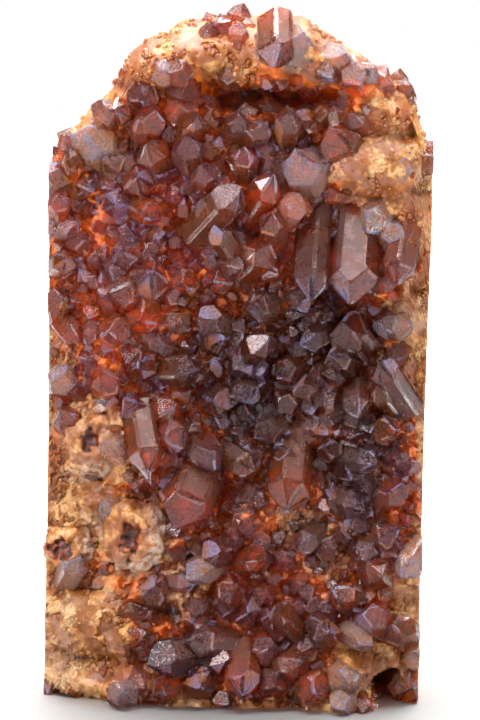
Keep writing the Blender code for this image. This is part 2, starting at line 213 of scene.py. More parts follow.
MILK = (
    (-16, 155, 15, 5, 0.9), (12, 158, 12, 7, 1), (32, 148, 7, 5, 0.8), (-36, 137, 9, 6, 0.9),
    (36, 132, 12, 13, 0.9), (31.5, 125, 13, 7, 0.9), (32, 116, 13, 8, 0.8), (42, 94, 6, 20, 0.9),
    (38, 90, 6, 6, 0.8), (-44.5, 60, 3, 70, 0.8), (-40, 80, 4, 6, 0.8), (-33.5, 67, 9, 5, 0.9),
    (-42, 50, 6, 14, 0.8), (-29, 57, 9, 7, 0.8), (-21, 41, 9, 9, 0.9), (-38, 38, 8, 8, 0.9),
    (-36, 16, 14, 15, 1), (-33, 5, 17, 7, 1), (-8, 1, 24, 3, 0.5), (9, 6.5, 7, 6, 0.4),
    (22, 1, 9, 4, 0.5), (-13.5, 24, 12, 8, 0.6), (15, 42, 10, 9, 0.6), (22, 33, 9, 6, 0.5),
    (37, 70, 8, 6, 0.6), (42.5, 32, 3, 14, 0.8), (41, 10, 5, 8, 0.6), (28, 110, 9, 9, 0.5),
    (-32, 128, 10, 8, 0.4), (13.5, 129, 4, 3, 0.65), (15.5, 118, 2.5, 2.5, 0.6), (19, 106, 5, 14, 0.8),
    (30, 107, 8, 14, 0.75), (38.5, 104, 5, 9, 0.6), (-14, 149, 15, 8, 0.5), (22, 150, 14, 8, 0.7),
    (-2, 150, 14, 9, 0.6), (-22, 146, 12, 9, 0.6), (41, 78, 4, 14, 0.6), (20, 2, 14, 4, 0.7),
    (-9, 2, 10, 4, 0.7), (-35, 48, 8, 8, 0.9), (-34, 60, 9, 9, 0.9), (-25, 39, 10, 11, 0.9),
    (27, 9, 6, 8, 0.7), (14, 14, 8, 8, 0.5), (-12, 30, 10, 8, 0.6), (44, 62, 2.5, 25, 0.7),
    (43, 118, 4, 10, 0.7), (35, 10, 10, 10, 0.9), (40, 22, 5, 14, 0.8),
)

# Massive places where the druse didn't grow.
BARE = (
    (-14, 154, 16, 8, 1), (-12, 147, 20, 9, 0.95), (17, 151, 11, 11, 1), (29, 147, 9, 9, 1),
    (-29, 143, 8, 8, 0.9), (2, 148, 14, 6, 0.9), (36, 129, 13, 18, 1), (33, 117, 14, 9, 1),
    (41, 93, 6, 11, 0.9), (-45, 60, 2.5, 70, 0.8), (-36, 13, 12, 15, 1), (-30, 26, 16, 7, 0.9),
    (-33.5, 67, 6, 5, 0.8), (-17, 24, 10, 6, 0.7), (-8, 2.5, 9, 5, 0.9), (-41, 48, 6, 8, 0.8),
    (-28, 52, 8, 8, 0.7), (14, 30, 7, 6, 0.6),
)


def stain_at(patches, x, z):
    """How strong one stain is at a place, between 0 and 1, with an uneven edge."""
    strongest = 0.0
    for patch_x, patch_z, half_x, half_z, strength in patches:
        off = math.hypot((x - patch_x) / half_x, (z - patch_z) / half_z)
        if off < 1.5:
            uneven = off + 0.3 * rough(x, z, 3.5, 61.0)
            strongest = max(strongest, strength * min(1.0, max(0.0, 1.6 - 1.3 * uneven)))
    return strongest


STAINS = {"iron": IRON, "amethyst": AMETHYST, "smoke": SMOKE, "milk": MILK}
print("stain patches:", {name: len(patches) for name, patches in STAINS.items()})


def stains_at(x, z):
    """All four stains at one place."""
    return {name: stain_at(patches, x, z) for name, patches in STAINS.items()}


# %% [markdown]
# ## The body
# The massive quartz could be sculpted, but a grid is easier to keep true to the solid: each point of the
# front grid asks the same function as the solid how deep it lies, and adds its own fine breakage. Flat
# facets of broken quartz come from cells, each with its own tilt. The smooth golden dome on the right
# shoulder is a swell of the body, too, because it has no edge of its own. The saw left the two sides and
# the base flat, so there the grid stays flat.

# %% A grid of the front
COLUMNS = 170
ROWS = 290


def top_of(column_x):
    """Where a column that leans with the saw cuts reaches the broken top edge."""
    z = 150.0
    for _ in range(8):
        z = read_curve(TOP_EDGE, column_x + SAW_LEAN * z)
    return z


def broken_facets(x, y, z, size, seed):
    """Height of small flat facets, one to each cell, with steps between them."""
    at = Vector((x / size, y / size, z / size + seed))
    nearest = noise.voronoi(at)[1][0]
    tilt = noise.noise_vector(nearest * 3.7)
    return tilt.dot(at - nearest) + 0.35 * noise.noise(nearest * 5.3)


def relief(x, z):
    """The fine breakage of the front: large facets, small ones and grain."""
    return (
        2.0 * broken_facets(x, 0, z, 4.5, 2.0)
        + 0.9 * broken_facets(x, 0, z, 1.9, 7.0)
        + 0.3 * rough(x, z, 1.1, 31.0)
        - 0.3
    )


# The dome is the fourth of the solid's lumps.
DOME = LUMPS[3]


def crest_rounding(top, z):
    """How much of its thickness the slab still has near the top edge: 1 well below it, 0 at the edge."""
    return math.sqrt(1 - max(0.0, 1 - (top - z) / CREST_ROUNDING) ** 2)


def body_front(x, z, top, fine):
    """The place of one point of the front, rounded over to the crest at the top."""
    dome_x, dome_z, half_x, half_z, rise = DOME
    off = ((x - dome_x) / (1.3 * half_x)) ** 2 + ((z - dome_z) / (1.5 * half_z)) ** 2
    dome = max(0.0, 1 - off) ** 0.7
    depth = front_depth(x, z) + rise * dome
    if fine:
        depth += (1 - 0.7 * dome) * relief(x, z)
    y = CREST_Y - (CREST_Y + depth) * crest_rounding(top, z)
    return carve(x, y, z)


def front_grid(columns, rows, fine):
    """Rows of places (x, y, z) up each column of the front, from the base to the crest."""
    grid = []
    for share in np.linspace(0, 1, columns):
        column_x = LEFT_SAW_X + share * (RIGHT_SAW_X - LEFT_SAW_X)
        top = top_of(column_x)
        if fine:
            top += 0.5 * rough(column_x, 0, 2.4, 71.0) - 0.2
        column = []
        for z in np.linspace(0, top, rows):
            x = column_x + SAW_LEAN * z
            column.append((x, body_front(x, z, top, fine), z))
        grid.append(column)
    return grid


front = front_grid(COLUMNS, ROWS, fine=True)
print("front grid:", len(front) * len(front[0]), "points")


# %% Join front, back, sides and base into one closed body
BACK_STEP = 2
SIDE_STEPS = 8


def mesh_from(name, points, faces):
    """A mesh object from points in millimetres."""
    mesh = bpy.data.meshes.new(name)
    mesh.from_pydata([Vector(point) * M for point in points], [], faces)
    obj = bpy.data.objects.new(name, mesh)
    bpy.context.scene.collection.objects.link(obj)
    return obj


def side_between(start, end):
    """The points of one row of a sawn side, between its front and back corners."""
    start, end = np.array(start), np.array(end)
    return [tuple(start + (end - start) * k / SIDE_STEPS) for k in range(1, SIDE_STEPS)]


def make_body():
    """Wraps closed rings of points round the slab, one ring to each row, and closes the base and crest."""
    rings = []
    for row in range(ROWS):
        fronts = [column[row] for column in front]
        backs = []
        for column, (x, y, z) in zip(front, fronts):
            top = column[-1][2]
            depth = back_depth(x, z) - 1.0
            depth += 0.9 * broken_facets(x, 40, z, 6.0, 5.0) + 0.3 * rough(x, z, 1.5, 91.0)
            backs.append((x, CREST_Y + (depth - CREST_Y) * crest_rounding(top, z), z))
        backs = backs[::-BACK_STEP]
        right, left = side_between(fronts[-1], backs[0]), side_between(backs[-1], fronts[0])
        rings.append([*fronts, *right, *backs, *left])
    count = len(rings[0])
    points = [point for ring in rings for point in ring]
    faces = []
    for row in range(ROWS - 1):
        low, high = row * count, (row + 1) * count
        for k in range(count):
            after = (k + 1) % count
            faces.append((low + k, low + after, high + after, high + k))
    faces.append(tuple(reversed(range(count))))
    body = mesh_from("citrine_matrix", points, faces)
    bm = bmesh.new()
    bm.from_mesh(body.data)
    bmesh.ops.remove_doubles(bm, verts=bm.verts[:], dist=0.02 * M)
    edges = [edge for edge in bm.edges if edge.is_boundary]
    if edges:
        bmesh.ops.holes_fill(bm, edges=edges, sides=0)
    bmesh.ops.triangulate(bm, faces=[face for face in bm.faces if len(face.verts) > 4])
    bmesh.ops.recalc_face_normals(bm, faces=bm.faces[:])
    bm.to_mesh(body.data)
    bm.free()
    return body


body = make_body()
print("body:", len(body.data.polygons), "faces")


# %% Paint the stains on the body
def paint(obj, values):
    """Writes one number to each point of a mesh, as an attribute that materials can read."""
    for name, numbers in values.items():
        layer = obj.data.attributes.new(name, "FLOAT", "POINT")
        layer.data.foreach_set("value", np.array(numbers, dtype=np.float32))


def paint_stains(obj):
    """Paints the four stains on every point of a mesh, and how far it stands proud of its surroundings.

    The stains belong to the front. Behind it, on the sawn sides and the back, the quartz is milky.
    """
    found = {name: [] for name in (*STAINS, "proud")}
    for vert in obj.data.vertices:
        x, y, z = vert.co / M
        behind = min(1.0, max(0.0, min((y + front_depth(x, z) - 5) / 5, y / 6)))
        for name, strength in stains_at(x, z).items():
            found[name].append(strength * (1 - behind))
        found["milk"][-1] += behind * (0.75 + 0.25 * rough(x + 0.7 * y, z, 9.0, 47.0))
        found["proud"].append(min(1.0, max(0.0, 0.5 + 0.8 * (1 - behind) * relief(x, z))))
    paint(obj, found)


paint_stains(body)
body.data.shade_smooth()
body.data.set_sharp_from_angle(angle=math.radians(50))

# %% [markdown]
# ## One quartz point
# Quartz grows as a six-sided prism closed by six end faces, and their slope never changes: the normal of
# each stands 51.8 degrees from the long axis. Three of them are usually larger than the other three. So a
# point is best made as a crystal cutter would: start with a block and cut one plane after another. Each
# face is then inset by itself. Most faces are clear in their middle and lavender along their rims, and a
# few are hazy all over. That lavender is partly a milky veil and partly a painted glint along the ridges.
# The mesh keeps this in attributes: the veil and glint, how lavender a place is, cloudy, which faces take the
# cloudy finish, frost, a chance number for each face, and rise, the height along the point.

# %% Cut one point
END_FACE_ANGLE = math.radians(51.8)
# Where side faces and end faces lie, in radii from the axis and from the tip.
SIDE_FACE = (0.82, 1.08)
LARGE_END_FACE = (-0.12, 0.0)
SMALL_END_FACE = (-0.07, 0.28)


def cut_away(bm, point, normal):
    """Takes off what lies beyond a plane and closes the cut with one flat face."""
    everything = bm.verts[:] + bm.edges[:] + bm.faces[:]
    cut = bmesh.ops.bisect_plane(bm, geom=everything, plane_co=point, plane_no=normal, clear_outer=True)
    edges = [item for item in cut["geom_cut"] if isinstance(item, bmesh.types.BMEdge)]
    if edges:
        bmesh.ops.contextual_create(bm, geom=edges)


def cut_point(radius, length, rng):
    """A six-sided point along -Z, tip at the origin, in the units of its radius."""
    bm = bmesh.new()
    bmesh.ops.create_cube(bm, size=4 * length, matrix=Matrix.Translation((0, 0, -1.5 * length)))
    cut_away(bm, Vector((0, 0, -length)), Vector((0, 0, -1)))
    for side in range(6):
        turn = math.radians(60 * side)
        outward = Vector((math.cos(turn), math.sin(turn), 0))
        cut_away(bm, outward * radius * rng.uniform(*SIDE_FACE), outward)
        slope = outward * math.sin(END_FACE_ANGLE) + Vector((0, 0, math.cos(END_FACE_ANGLE)))
        end_face = LARGE_END_FACE if side % 2 == 0 else SMALL_END_FACE
        cut_away(bm, slope * radius * rng.uniform(*end_face), slope)
    bmesh.ops.recalc_face_normals(bm, faces=bm.faces[:])
    return bm


# The share of the faces near the tip that are hazy, and the share of the other rims there that are.
HAZY_FACES = 0.1
HAZY_RIMS = 0.25


def by_place(face):
    """A key to sort faces by, because a bevel leaves them in an order that changes from run to run."""
    return tuple(round(value, 3) for value in face.calc_center_median())


def inset_and_mark_rims(bm, radius, rim, bevel, rng):
    """Breaks the edges, insets the faces, and marks each place: its veil is partly milk, partly a painted
    glint.
    """
    bmesh.ops.remove_doubles(bm, verts=bm.verts[:], dist=0.02 * radius)
    frost = bm.faces.layers.float.new("frost")
    for face in bm.faces:
        face[frost] = rng.random()
    if bevel:
        edges = [edge for edge in bm.edges if max(vert.co.z for vert in edge.verts) > -4 * radius]
        bmesh.ops.bevel(bm, geom=edges, offset=bevel * radius, segments=1, affect="EDGES")
    veil = bm.verts.layers.float.new("veil")
    rise = bm.verts.layers.float.new("rise")
    for vert in bm.verts:
        vert[veil] = 1.0
    cloudy = bm.faces.layers.float.new("cloudy")
    seen = [face for face in bm.faces if face.normal.z > -0.5 and face.calc_area() > (0.25 * radius) ** 2]
    if bevel:
        seen.sort(key=by_place)
    for face in seen:
        near_tip = max(vert.co.z for vert in face.verts) > -1.0 * radius
        hazy = near_tip and rng.random() < HAZY_FACES
        inset = bmesh.ops.inset_individual(bm, faces=[face], thickness=rim * radius, use_even_offset=True)
        strips = inset["faces"]
        if bevel:
            strips.sort(key=by_place)
        for strip in strips:
            strip[cloudy] = 1.0 if hazy or (near_tip and rng.random() < HAZY_RIMS) else 0.0
        face[cloudy] = 1.0 if hazy else 0.0
        for vert in face.verts:
            vert[veil] = 0.5 if hazy else 0.0
    for vert in bm.verts:
        vert[rise] = min(1.0, max(0.0, 1 + vert.co.z / (3.0 * radius)))


# %% [markdown]
# ## The large points
# Every point wide enough to know by sight has its own row: where its tip is, how wide it is, how far it
# stands out and which way it leans. They could be scattered by chance, but then none would stand where the
# real ones do. The random numbers follow the same order as in the solid, so each point here sits exactly
# over its plain twin. Points on milky ground get a mesh of their own, because their finish is another one.

# %% The rows of large points
# Each row: tip place (x, z), radius, rise of the tip over the body, and lean of the axis (x, z).
TOP_RIDGE = (
    (-4, 157.5, 3.2, 2, -0.1, 0.3), (7, 154, 4.2, 3, -0.1, 0.2), (9, 147, 4.8, 5, 0, -0.6),
    (15.5, 156, 5.6, 3, 0.3, 0.5), (22, 145, 3.2, 4, 0.2, -0.3), (32, 148, 3.2, 2, 0.5, 0.5),
    (28, 143, 4.6, 2.5, 0.1, -0.2), (-17.5, 147, 3.2, 2, -0.2, 0.1), (-12, 147, 3.4, 3, 0.1, 0.1),
    (-22, 139.5, 3.8, 4, -0.1, -0.2), (-12, 140.5, 4.2, 4, 0, -0.3), (-27.5, 138, 3.2, 3, -0.2, 0.1),
    (25.5, 151, 4.2, 2, 0.5, 0.4), (-35, 133.5, 5.6, 3, -0.3, 0.4),
)
UPPER_LEFT = (
    (-21.5, 137, 3.4, 4, -0.1, 0.7), (-17.5, 138, 3.8, 4.5, 0.3, 0.5), (-20.5, 130.5, 4, 4.5, -0.3, 0.5),
    (-30.5, 127.5, 4.6, 3.5, -0.3, 0.1), (-22.5, 123, 4.2, 5, 0, 0.2), (-27, 116.5, 3.8, 5, 0, 0),
    (-40.5, 119, 3.2, 4, 0, 0.6), (-17, 113, 3.2, 4, 0.6, -0.3), (-36, 112, 3, 4, 0.5, 0.2),
    (-38.5, 104, 3.2, 5, 0.2, 0.2), (-26.5, 106, 3.8, 4.5, -0.2, 0.2), (-19, 101.5, 5.2, 5.5, 0.1, 0.3),
    (-12.5, 98.5, 3.8, 4, -0.1, 0.1), (-29, 96.5, 4.2, 5, -0.5, 0.1), (-22, 90.5, 4.8, 5, -0.1, 0),
    (-29, 87.5, 4.4, 5, -0.2, 0), (-36, 84, 3.4, 4, 0.4, -0.4), (-42, 97, 3.4, 3, -0.1, 0.7),
)
UPPER_MIDDLE = (
    (-8.5, 137.5, 3.4, 5, 0.3, 0.7), (1, 137, 3.4, 6, 0.1, 0.5), (6.5, 135, 3.2, 5, 0.3, 0.4),
    (12.5, 138, 3.6, 6, 0.1, 0.6), (21, 134.5, 5.4, 6, -0.4, 0.6), (-11.5, 132, 3.6, 6, -0.1, 0.6),
    (-8, 126, 3.4, 4, -0.2, 0.6), (2, 130, 3.4, 4, 0, 0.8), (13.5, 129, 6, 6, -0.2, 0.5),
    (9, 123.5, 4.2, 4, 0.5, 0.8), (1.5, 121.5, 4.8, 6, 0.6, 0.7), (-8, 118.5, 4.2, 4.5, -0.4, 0.6),
    (15.5, 118, 3.6, 5, 0.5, 0.5), (8.5, 115.5, 3.8, 5, 0, 0.6), (-5, 112.5, 3.2, 6, -0.5, 0.8),
    (-3.5, 107.5, 3.8, 4, -0.6, -0.1), (8.5, 108, 4.8, 5, 0.6, 0.6), (2, 102, 3.2, 5, 0.5, 0),
    (10, 100.5, 3.6, 4, 0.3, -0.1), (-5, 99, 3.4, 4, -0.2, 0), (-9, 91, 4, 3.5, -0.5, 0.3),
    (2.5, 92.5, 3.8, 5, -0.5, 0), (-2, 86, 3.6, 4, 0.4, 0.2), (8, 86.5, 4.2, 5, 0.4, 0.5),
)
RIGHT_CLUSTER = (
    (17, 94.5, 4.6, 8, -0.1, -1), (26, 93.5, 6.2, 9, -0.1, -0.9), (36.5, 98, 4, 7, -0.2, -0.8),
    (24, 90, 5.4, 6, -0.4, 0.5), (33, 89.5, 3.6, 4, -0.3, 0.2), (41, 88, 3.4, 3, 0.6, 0),
    (21, 82, 3.8, 4.5, -0.6, 0.3), (15, 84, 3.2, 4, -0.7, -0.3), (32.5, 81, 4, 5, -0.5, 0.8),
    (24, 76, 3.4, 4, 0.2, -0.3), (32, 75, 3.2, 4, -0.4, 0.5), (40, 72.5, 3.6, 3, 0.4, 0.2),
    (30, 110, 4.2, 3, -0.2, -0.3), (39, 109, 3.8, 2.5, 0.7, -0.1), (39, 127, 3.4, 2.5, 0.4, 0.5),
)
MIDDLE = (
    (-8.5, 79, 3.4, 6, 0.6, 0.1), (-13.5, 80, 3.6, 4.5, -0.1, 0.4), (-0.5, 78.5, 4, 4.5, -0.3, 0),
    (9, 76.5, 3.4, 5, -0.5, -0.2), (15.5, 76, 3.4, 4, -0.1, 0.4), (-5, 71.5, 4, 4.5, -0.1, 0.1),
    (3, 70.5, 3.4, 4, 0.1, -0.4), (9.5, 68.5, 3.4, 4, -0.4, -0.4), (4, 62.5, 3.6, 4, -0.6, -0.3),
    (12.5, 59.5, 3.6, 6, 0.1, 0.3), (-4.5, 55, 4.6, 6, 0.3, -0.4), (4.5, 55, 3.2, 4, 0.6, -0.3),
    (28, 67, 4, 5, 0, -0.6), (37, 64.5, 3.8, 3.5, 0.4, 0.1), (20, 60, 3.4, 4, -0.4, 0.3),
    (26.5, 52.5, 3.6, 5, -0.1, -0.2), (33, 57, 3.4, 5, 0.6, 0), (39, 52, 4, 4, 0.5, 0.5),
    (30, 45.5, 3.8, 4, 0.5, -0.1), (38, 41.5, 3.8, 4, 0.8, 0.5), (12, 46, 5, 6, -0.1, -0.7),
    (-13, 71, 4, 4, 0.6, 0.4),
)
LEFT_LOWER = (
    (-39.5, 76.5, 4, 4, 0.1, 0.2), (-30, 78, 4.2, 4, 0, 0.5), (-22, 80, 4, 4, -0.1, 0.1),
    (-41, 68.5, 4, 3.5, -0.3, 0.6), (-22, 71, 4.2, 4, 0.2, 0.3), (-27.5, 63, 4, 3, 0, 0.5),
    (-19.5, 54.5, 4.6, 5, 0.2, -0.9), (-16.5, 63, 4.6, 5, -0.2, 0), (-31, 47.5, 4.4, 4, -0.4, 0.4),
    (-14, 42, 6.6, 7, -0.3, -0.7), (-36, 34, 4, 3.5, 0.3, 0.6),
)
LOWER_MIDDLE = (
    (-3, 37, 4.6, 6, 0.2, 0.2), (-11.5, 30, 4, 5, -0.6, -0.3), (-18.5, 28.5, 4.2, 4, 0, 0.3),
    (0.5, 29, 4, 5, 0.3, 0.5), (7, 35.5, 3.8, 5, 0.4, 0.2), (14, 37, 3.6, 4.5, -0.3, -0.2),
    (9, 24.5, 3.6, 6, -0.5, 0.8), (2.5, 22, 4.4, 5, 0, 0.1), (17, 22, 3.6, 4, -0.5, 0.6),
    (22, 28, 3.8, 4, -0.5, 0.5), (22, 18.5, 3.6, 6, 0.2, 0.2), (29, 22.5, 4.2, 5, -0.5, 0.4),
    (36, 20, 4.2, 5, -0.3, 0.4), (32, 14.5, 3.6, 4, 0.6, -0.2), (30, 34, 4, 4, -0.4, 0.5),
    (38, 30, 4, 4, -0.4, -0.4), (40.5, 13, 3.6, 3, -0.3, 0.4), (9, 15.5, 3.8, 5, 0.4, 0.5),
    (16, 12, 4, 5, 0.6, 0.4), (-1, 12.5, 3.8, 4, 0.4, 0.3), (-12, 16, 4.8, 5, -1.1, 0.3),
    (-21, 10.5, 5, 5, -1.2, -0.1),
)
FOOT = (
    (-26, 5, 4, 3.5, 0, 0.3), (-16, 4, 4.2, 4, 0, 0), (-8, 5.5, 4.4, 4, 0, 0), (1.5, 4, 4.2, 5, 0, -0.5),
    (9.5, 6, 4.2, 4.5, 0.1, 0), (18, 5, 4.4, 5, 0, 0), (26, 7, 4, 5, 0.1, 0), (25, 1.5, 3.6, 3, 0, -0.1),
    (40.5, 4, 4, 1.5, 0.1, 0.1),
)
CRYSTALS = (
    TOP_RIDGE + UPPER_LEFT + UPPER_MIDDLE + RIGHT_CLUSTER + MIDDLE + LEFT_LOWER + LOWER_MIDDLE + FOOT
)

print("large points:", len(CRYSTALS))

# %% Grow the large points
# How deep a point is rooted, how far the druse lifts it, and what every width and lean is multiplied by.
ROOT = 7.0
DRUSE_LIFT = 1.6
GIRTH = 0.9
LEAN = 1.5
# Points that stand where the stone is milkier than this are milky themselves.
MILKY_FROM = 0.55
SAW_CUTS = (
    (Vector((LEFT_SAW_X, 0, 0)), Vector((-1, 0, SAW_LEAN))),
    (Vector((RIGHT_SAW_X, 0, 0)), Vector((1, 0, -SAW_LEAN))),
    (Vector((0, 0, 0)), Vector((0, 0, -1))),
)


def add_to(gathered, bm, values):
    """Adds one shape to a gathered mesh, with the same numbers on all of its points."""
    for name, number in values.items():
        layer = bm.verts.layers.float.get(name) or bm.verts.layers.float.new(name)
        for vert in bm.verts:
            vert[layer] = number
    piece = bpy.data.meshes.new("piece")
    bm.to_mesh(piece)
    bm.free()
    gathered.from_mesh(piece)
    bpy.data.meshes.remove(piece)


def grow_large_points():
    """Cuts every large point and gathers the clear ones and the milky ones in a mesh each."""
    gathered = {"large_points": bmesh.new(), "milky_points": bmesh.new()}
    for bm in gathered.values():
        for name in ("veil", "rise", "tone", *STAINS):
            bm.verts.layers.float.new(name)
    rng = random.Random(12)
    tones = random.Random(5)
    frosts = random.Random(21)
    for x, z, radius, rise, lean_x, lean_z in CRYSTALS:
        axis = Vector((LEAN * lean_x, -1, LEAN * lean_z)).normalized()
        lift = rise + DRUSE_LIFT
        length = lift / -axis.y + ROOT
        bm = cut_point(radius * GIRTH, length, rng)
        inset_and_mark_rims(bm, radius * GIRTH, rim=0.15, bevel=0.03, rng=frosts)
        spin = Matrix.Rotation(rng.uniform(0, math.pi / 3), 3, "Z")
        turn = axis.to_track_quat("Z", "Y").to_matrix() @ spin
        tip = Vector((x, -front_depth(x, z) - lift, z))
        bm.transform(Matrix.Translation(tip) @ turn.to_4x4())
        for point, normal in SAW_CUTS:
            if any((vert.co - point).dot(normal) > 0 for vert in bm.verts):
                cut_away(bm, point, normal)
        bm.transform(Matrix.Scale(M, 4))
        stains = stains_at(x, z)
        milky = stains["milk"] > MILKY_FROM
        add_to(gathered["milky_points" if milky else "large_points"], bm, {"tone": tones.random(), **stains})
    made = []
    for name, bm in gathered.items():
        mesh = bpy.data.meshes.new(name)
        bm.to_mesh(mesh)
        bm.free()
        made.append(bpy.data.objects.new(name, mesh))
        bpy.context.scene.collection.objects.link(made[-1])
        print(f"{name}: {len(mesh.polygons)} faces")
    return made


large_points, milky_points = grow_large_points()

# %% [markdown]
# ## Rounded lumps
# Besides the dome, the quartz swelled into rounded, milky lumps in four places. They could be sculpted, but
# a ball whose surface is pushed in and out by noise keeps to the solid's rule and only has more faces.
# Three of them broke open and show a dark red core, and these have a white skin on one side.

# %% Lumps
# The dark core of each lump, if it has one: (x, z, half width, half height, depth).
LUMP_CORES = ((-33.5, 62, 2.2, 2.6, 2.5), (-24.5, 39, 2.2, 4.2, 3), (-41, 34.5, 3.2, 2.4, 2), None, None)


def make_lumps():
    """Gathers the lumps in one mesh, with the stains, the white skin and the dark core painted on it."""
    gathered = bmesh.new()
    for name in ("core", "skin"):
        gathered.verts.layers.float.new(name)
    for number, (lump, core) in enumerate(zip(LUMPS, LUMP_CORES)):
        if lump is DOME:
            continue
        x, z, half_x, half_z, rise = lump
        bm = bmesh.new()
        layers = [bm.verts.layers.float.new(name) for name in ("core", "skin")]
        bmesh.ops.create_icosphere(bm, subdivisions=5, radius=1.0)
        centre_y = -front_depth(x, z) + 0.3 * rise
        for vert in bm.verts:
            swell = 1 + 0.22 * rough(vert.co.x, vert.co.z + vert.co.y, 0.8, number + 40.0)
            swell += 0.2 * broken_facets(vert.co.x, vert.co.y, vert.co.z, 0.55, number)
            swell += 0.12 * broken_facets(vert.co.x, vert.co.y, vert.co.z, 0.22, number)
            off = vert.co * swell
            at = Vector((x + half_x * off.x, centre_y + 1.3 * rise * off.y, z + half_z * off.z))
            one_side = min(1.0, max(0.0, 0.5 + 0.7 * off.x - 0.5 * off.z))
            vert[layers[1]] = one_side * min(1.0, math.hypot(off.x, off.z)) if core else 0.0
            if core and off.y < 0:
                away = math.hypot((at.x - core[0]) / core[2], (at.z - core[1]) / core[3])
                away += 0.7 * rough(at.x, at.z, 2.0, 33.0)
                vert[layers[0]] = min(1.0, max(0.0, 1.6 - 1.3 * away))
                at.y += core[4] * vert[layers[0]]
            vert.co = at * M
        piece = bpy.data.meshes.new("piece")
        bm.to_mesh(piece)
        bm.free()
        gathered.from_mesh(piece)
        bpy.data.meshes.remove(piece)
    mesh = bpy.data.meshes.new("milky_lumps")
    gathered.to_mesh(mesh)
    gathered.free()
    lumps = bpy.data.objects.new("milky_lumps", mesh)
    bpy.context.scene.collection.objects.link(lumps)
    paint_stains(lumps)
    lumps.data.shade_smooth()
    return lumps


lumps = make_lumps()
print("lumps:", len(lumps.data.polygons), "faces")

# %% [markdown]
# ## The bed that the small points grow on
# Between the large points the druse goes on with smaller and smaller ones. They grow outward from the body,
# so we need its surface without the fine breakage, and four masks painted on it: druse, where the middling
# points may stand, fine, where the small ones may, crust, where there is only a sugary crust, and lean, how
# far the points turn upwards. No point may stand where a large one already fills the room.

# %% The bed and its masks
BED_COLUMNS = 110
BED_ROWS = 190


def room_left(x, z):
    """0 inside the footprint of a large point, 1 well outside all of them."""
    nearest = 9.0
    for tip_x, tip_z, radius, rise, lean_x, lean_z in CRYSTALS:
        foot_x = tip_x - 0.6 * LEAN * lean_x * rise
        foot_z = tip_z - 0.6 * LEAN * lean_z * rise
        nearest = min(nearest, math.hypot(x - foot_x, z - foot_z) / (radius * GIRTH))
    return min(1.0, max(0.0, (nearest - 0.4) / 0.35))


bed_grid = front_grid(BED_COLUMNS, BED_ROWS, fine=False)
bed_points = [point for column in bed_grid for point in column]
bed_faces = []
for k in range(BED_COLUMNS - 1):
    for row in range(BED_ROWS - 1):
        corner = k * BED_ROWS + row
        bed_faces.append((corner, corner + BED_ROWS, corner + BED_ROWS + 1, corner + 1))
bed = mesh_from("druse_bed", bed_points, bed_faces)
paint_stains(bed)
# How far the small points lean up (in radians), up the height of the stone: (z, lean).
SMALL_LEAN = ((0, -0.1), (60, 0.0), (100, 0.15), (118, 0.5), (140, 0.75), (160, 0.5))
# Iron leaves glowing gaps in the druse, which only a few fine points cover.
GAP_OF_IRON = 0.9
masks = {"druse": [], "fine": [], "crust": [], "lean": []}
for x, y, z in bed_points:
    stains = stains_at(x, z)
    room = room_left(x, z)
    bare = max(stain_at(BARE, x, z), min(1.0, 1.6 * stains["milk"] - 0.5 * stains["amethyst"]))
    patchy = min(1.0, max(0.0, 0.15 + 1.3 * rough(x, z, 6.0, 23.0)))
    masks["druse"].append(room * (1 - bare))
    masks["fine"].append(room * (1 - bare) * (1 - GAP_OF_IRON * stains["iron"]))
    masks["crust"].append(room * bare * patchy)
    masks["lean"].append(read_curve(SMALL_LEAN, z))
paint(bed, masks)
print("bed:", len(bed_points), "points")

# %% [markdown]
# ## Scattering the small points
# Thousands of small points are best left to Geometry Nodes. The tree drops places on the bed at an even
# spacing, stands one of a few cut points on each, leans it upwards as the lean mask says, tilts it by
# chance, and stains it as the bed under it. The same tree, with other sizes, makes the middling points, the
# fine ones and the sugary crust. The saw then cuts what stands out past the sides and the base.

# %% A few patterns of a point
def pattern_points(name, count, seed, rim):
    """A collection of different points of radius one, with the tips about one unit over the origin."""
    patterns = bpy.data.collections.new(name)
    rng = random.Random(seed)
    for number in range(count):
        bm = cut_point(1.0, 2.6, rng)
        if rim:
            inset_and_mark_rims(bm, 1.0, rim=rim, bevel=0, rng=rng)
        bm.transform(Matrix.Translation((0, 0, rng.uniform(0.9, 1.5))))
        mesh = bpy.data.meshes.new(f"{name}_{number}")
        bm.to_mesh(mesh)
        bm.free()
        patterns.objects.link(bpy.data.objects.new(f"{name}_{number}", mesh))
    return patterns


rimmed_patterns = pattern_points("rimmed_pattern", 8, seed=3, rim=0.18)
plain_patterns = pattern_points("plain_pattern", 5, seed=8, rim=0)


# %% The scattering tree
SCATTER_INPUTS = {
    "Bed": "NodeSocketGeometry", "Patterns": "NodeSocketCollection", "Spacing": "NodeSocketFloat",
    "Most per Area": "NodeSocketFloat", "Smallest": "NodeSocketFloat", "Largest": "NodeSocketFloat",
    "Tilt": "NodeSocketFloat", "Mask": "NodeSocketString", "Seed": "NodeSocketInt",
    "Finish": "NodeSocketMaterial", "Rim Finish": "NodeSocketMaterial",
}
# Above 1, small points are commoner than wide ones.
SIZE_BIAS = 1.6


def add_node(tree, kind, **settings):
    """A new node with its settings made."""
    made = tree.nodes.new(kind)
    for name, value in settings.items():
        setattr(made, name, value)
    return made


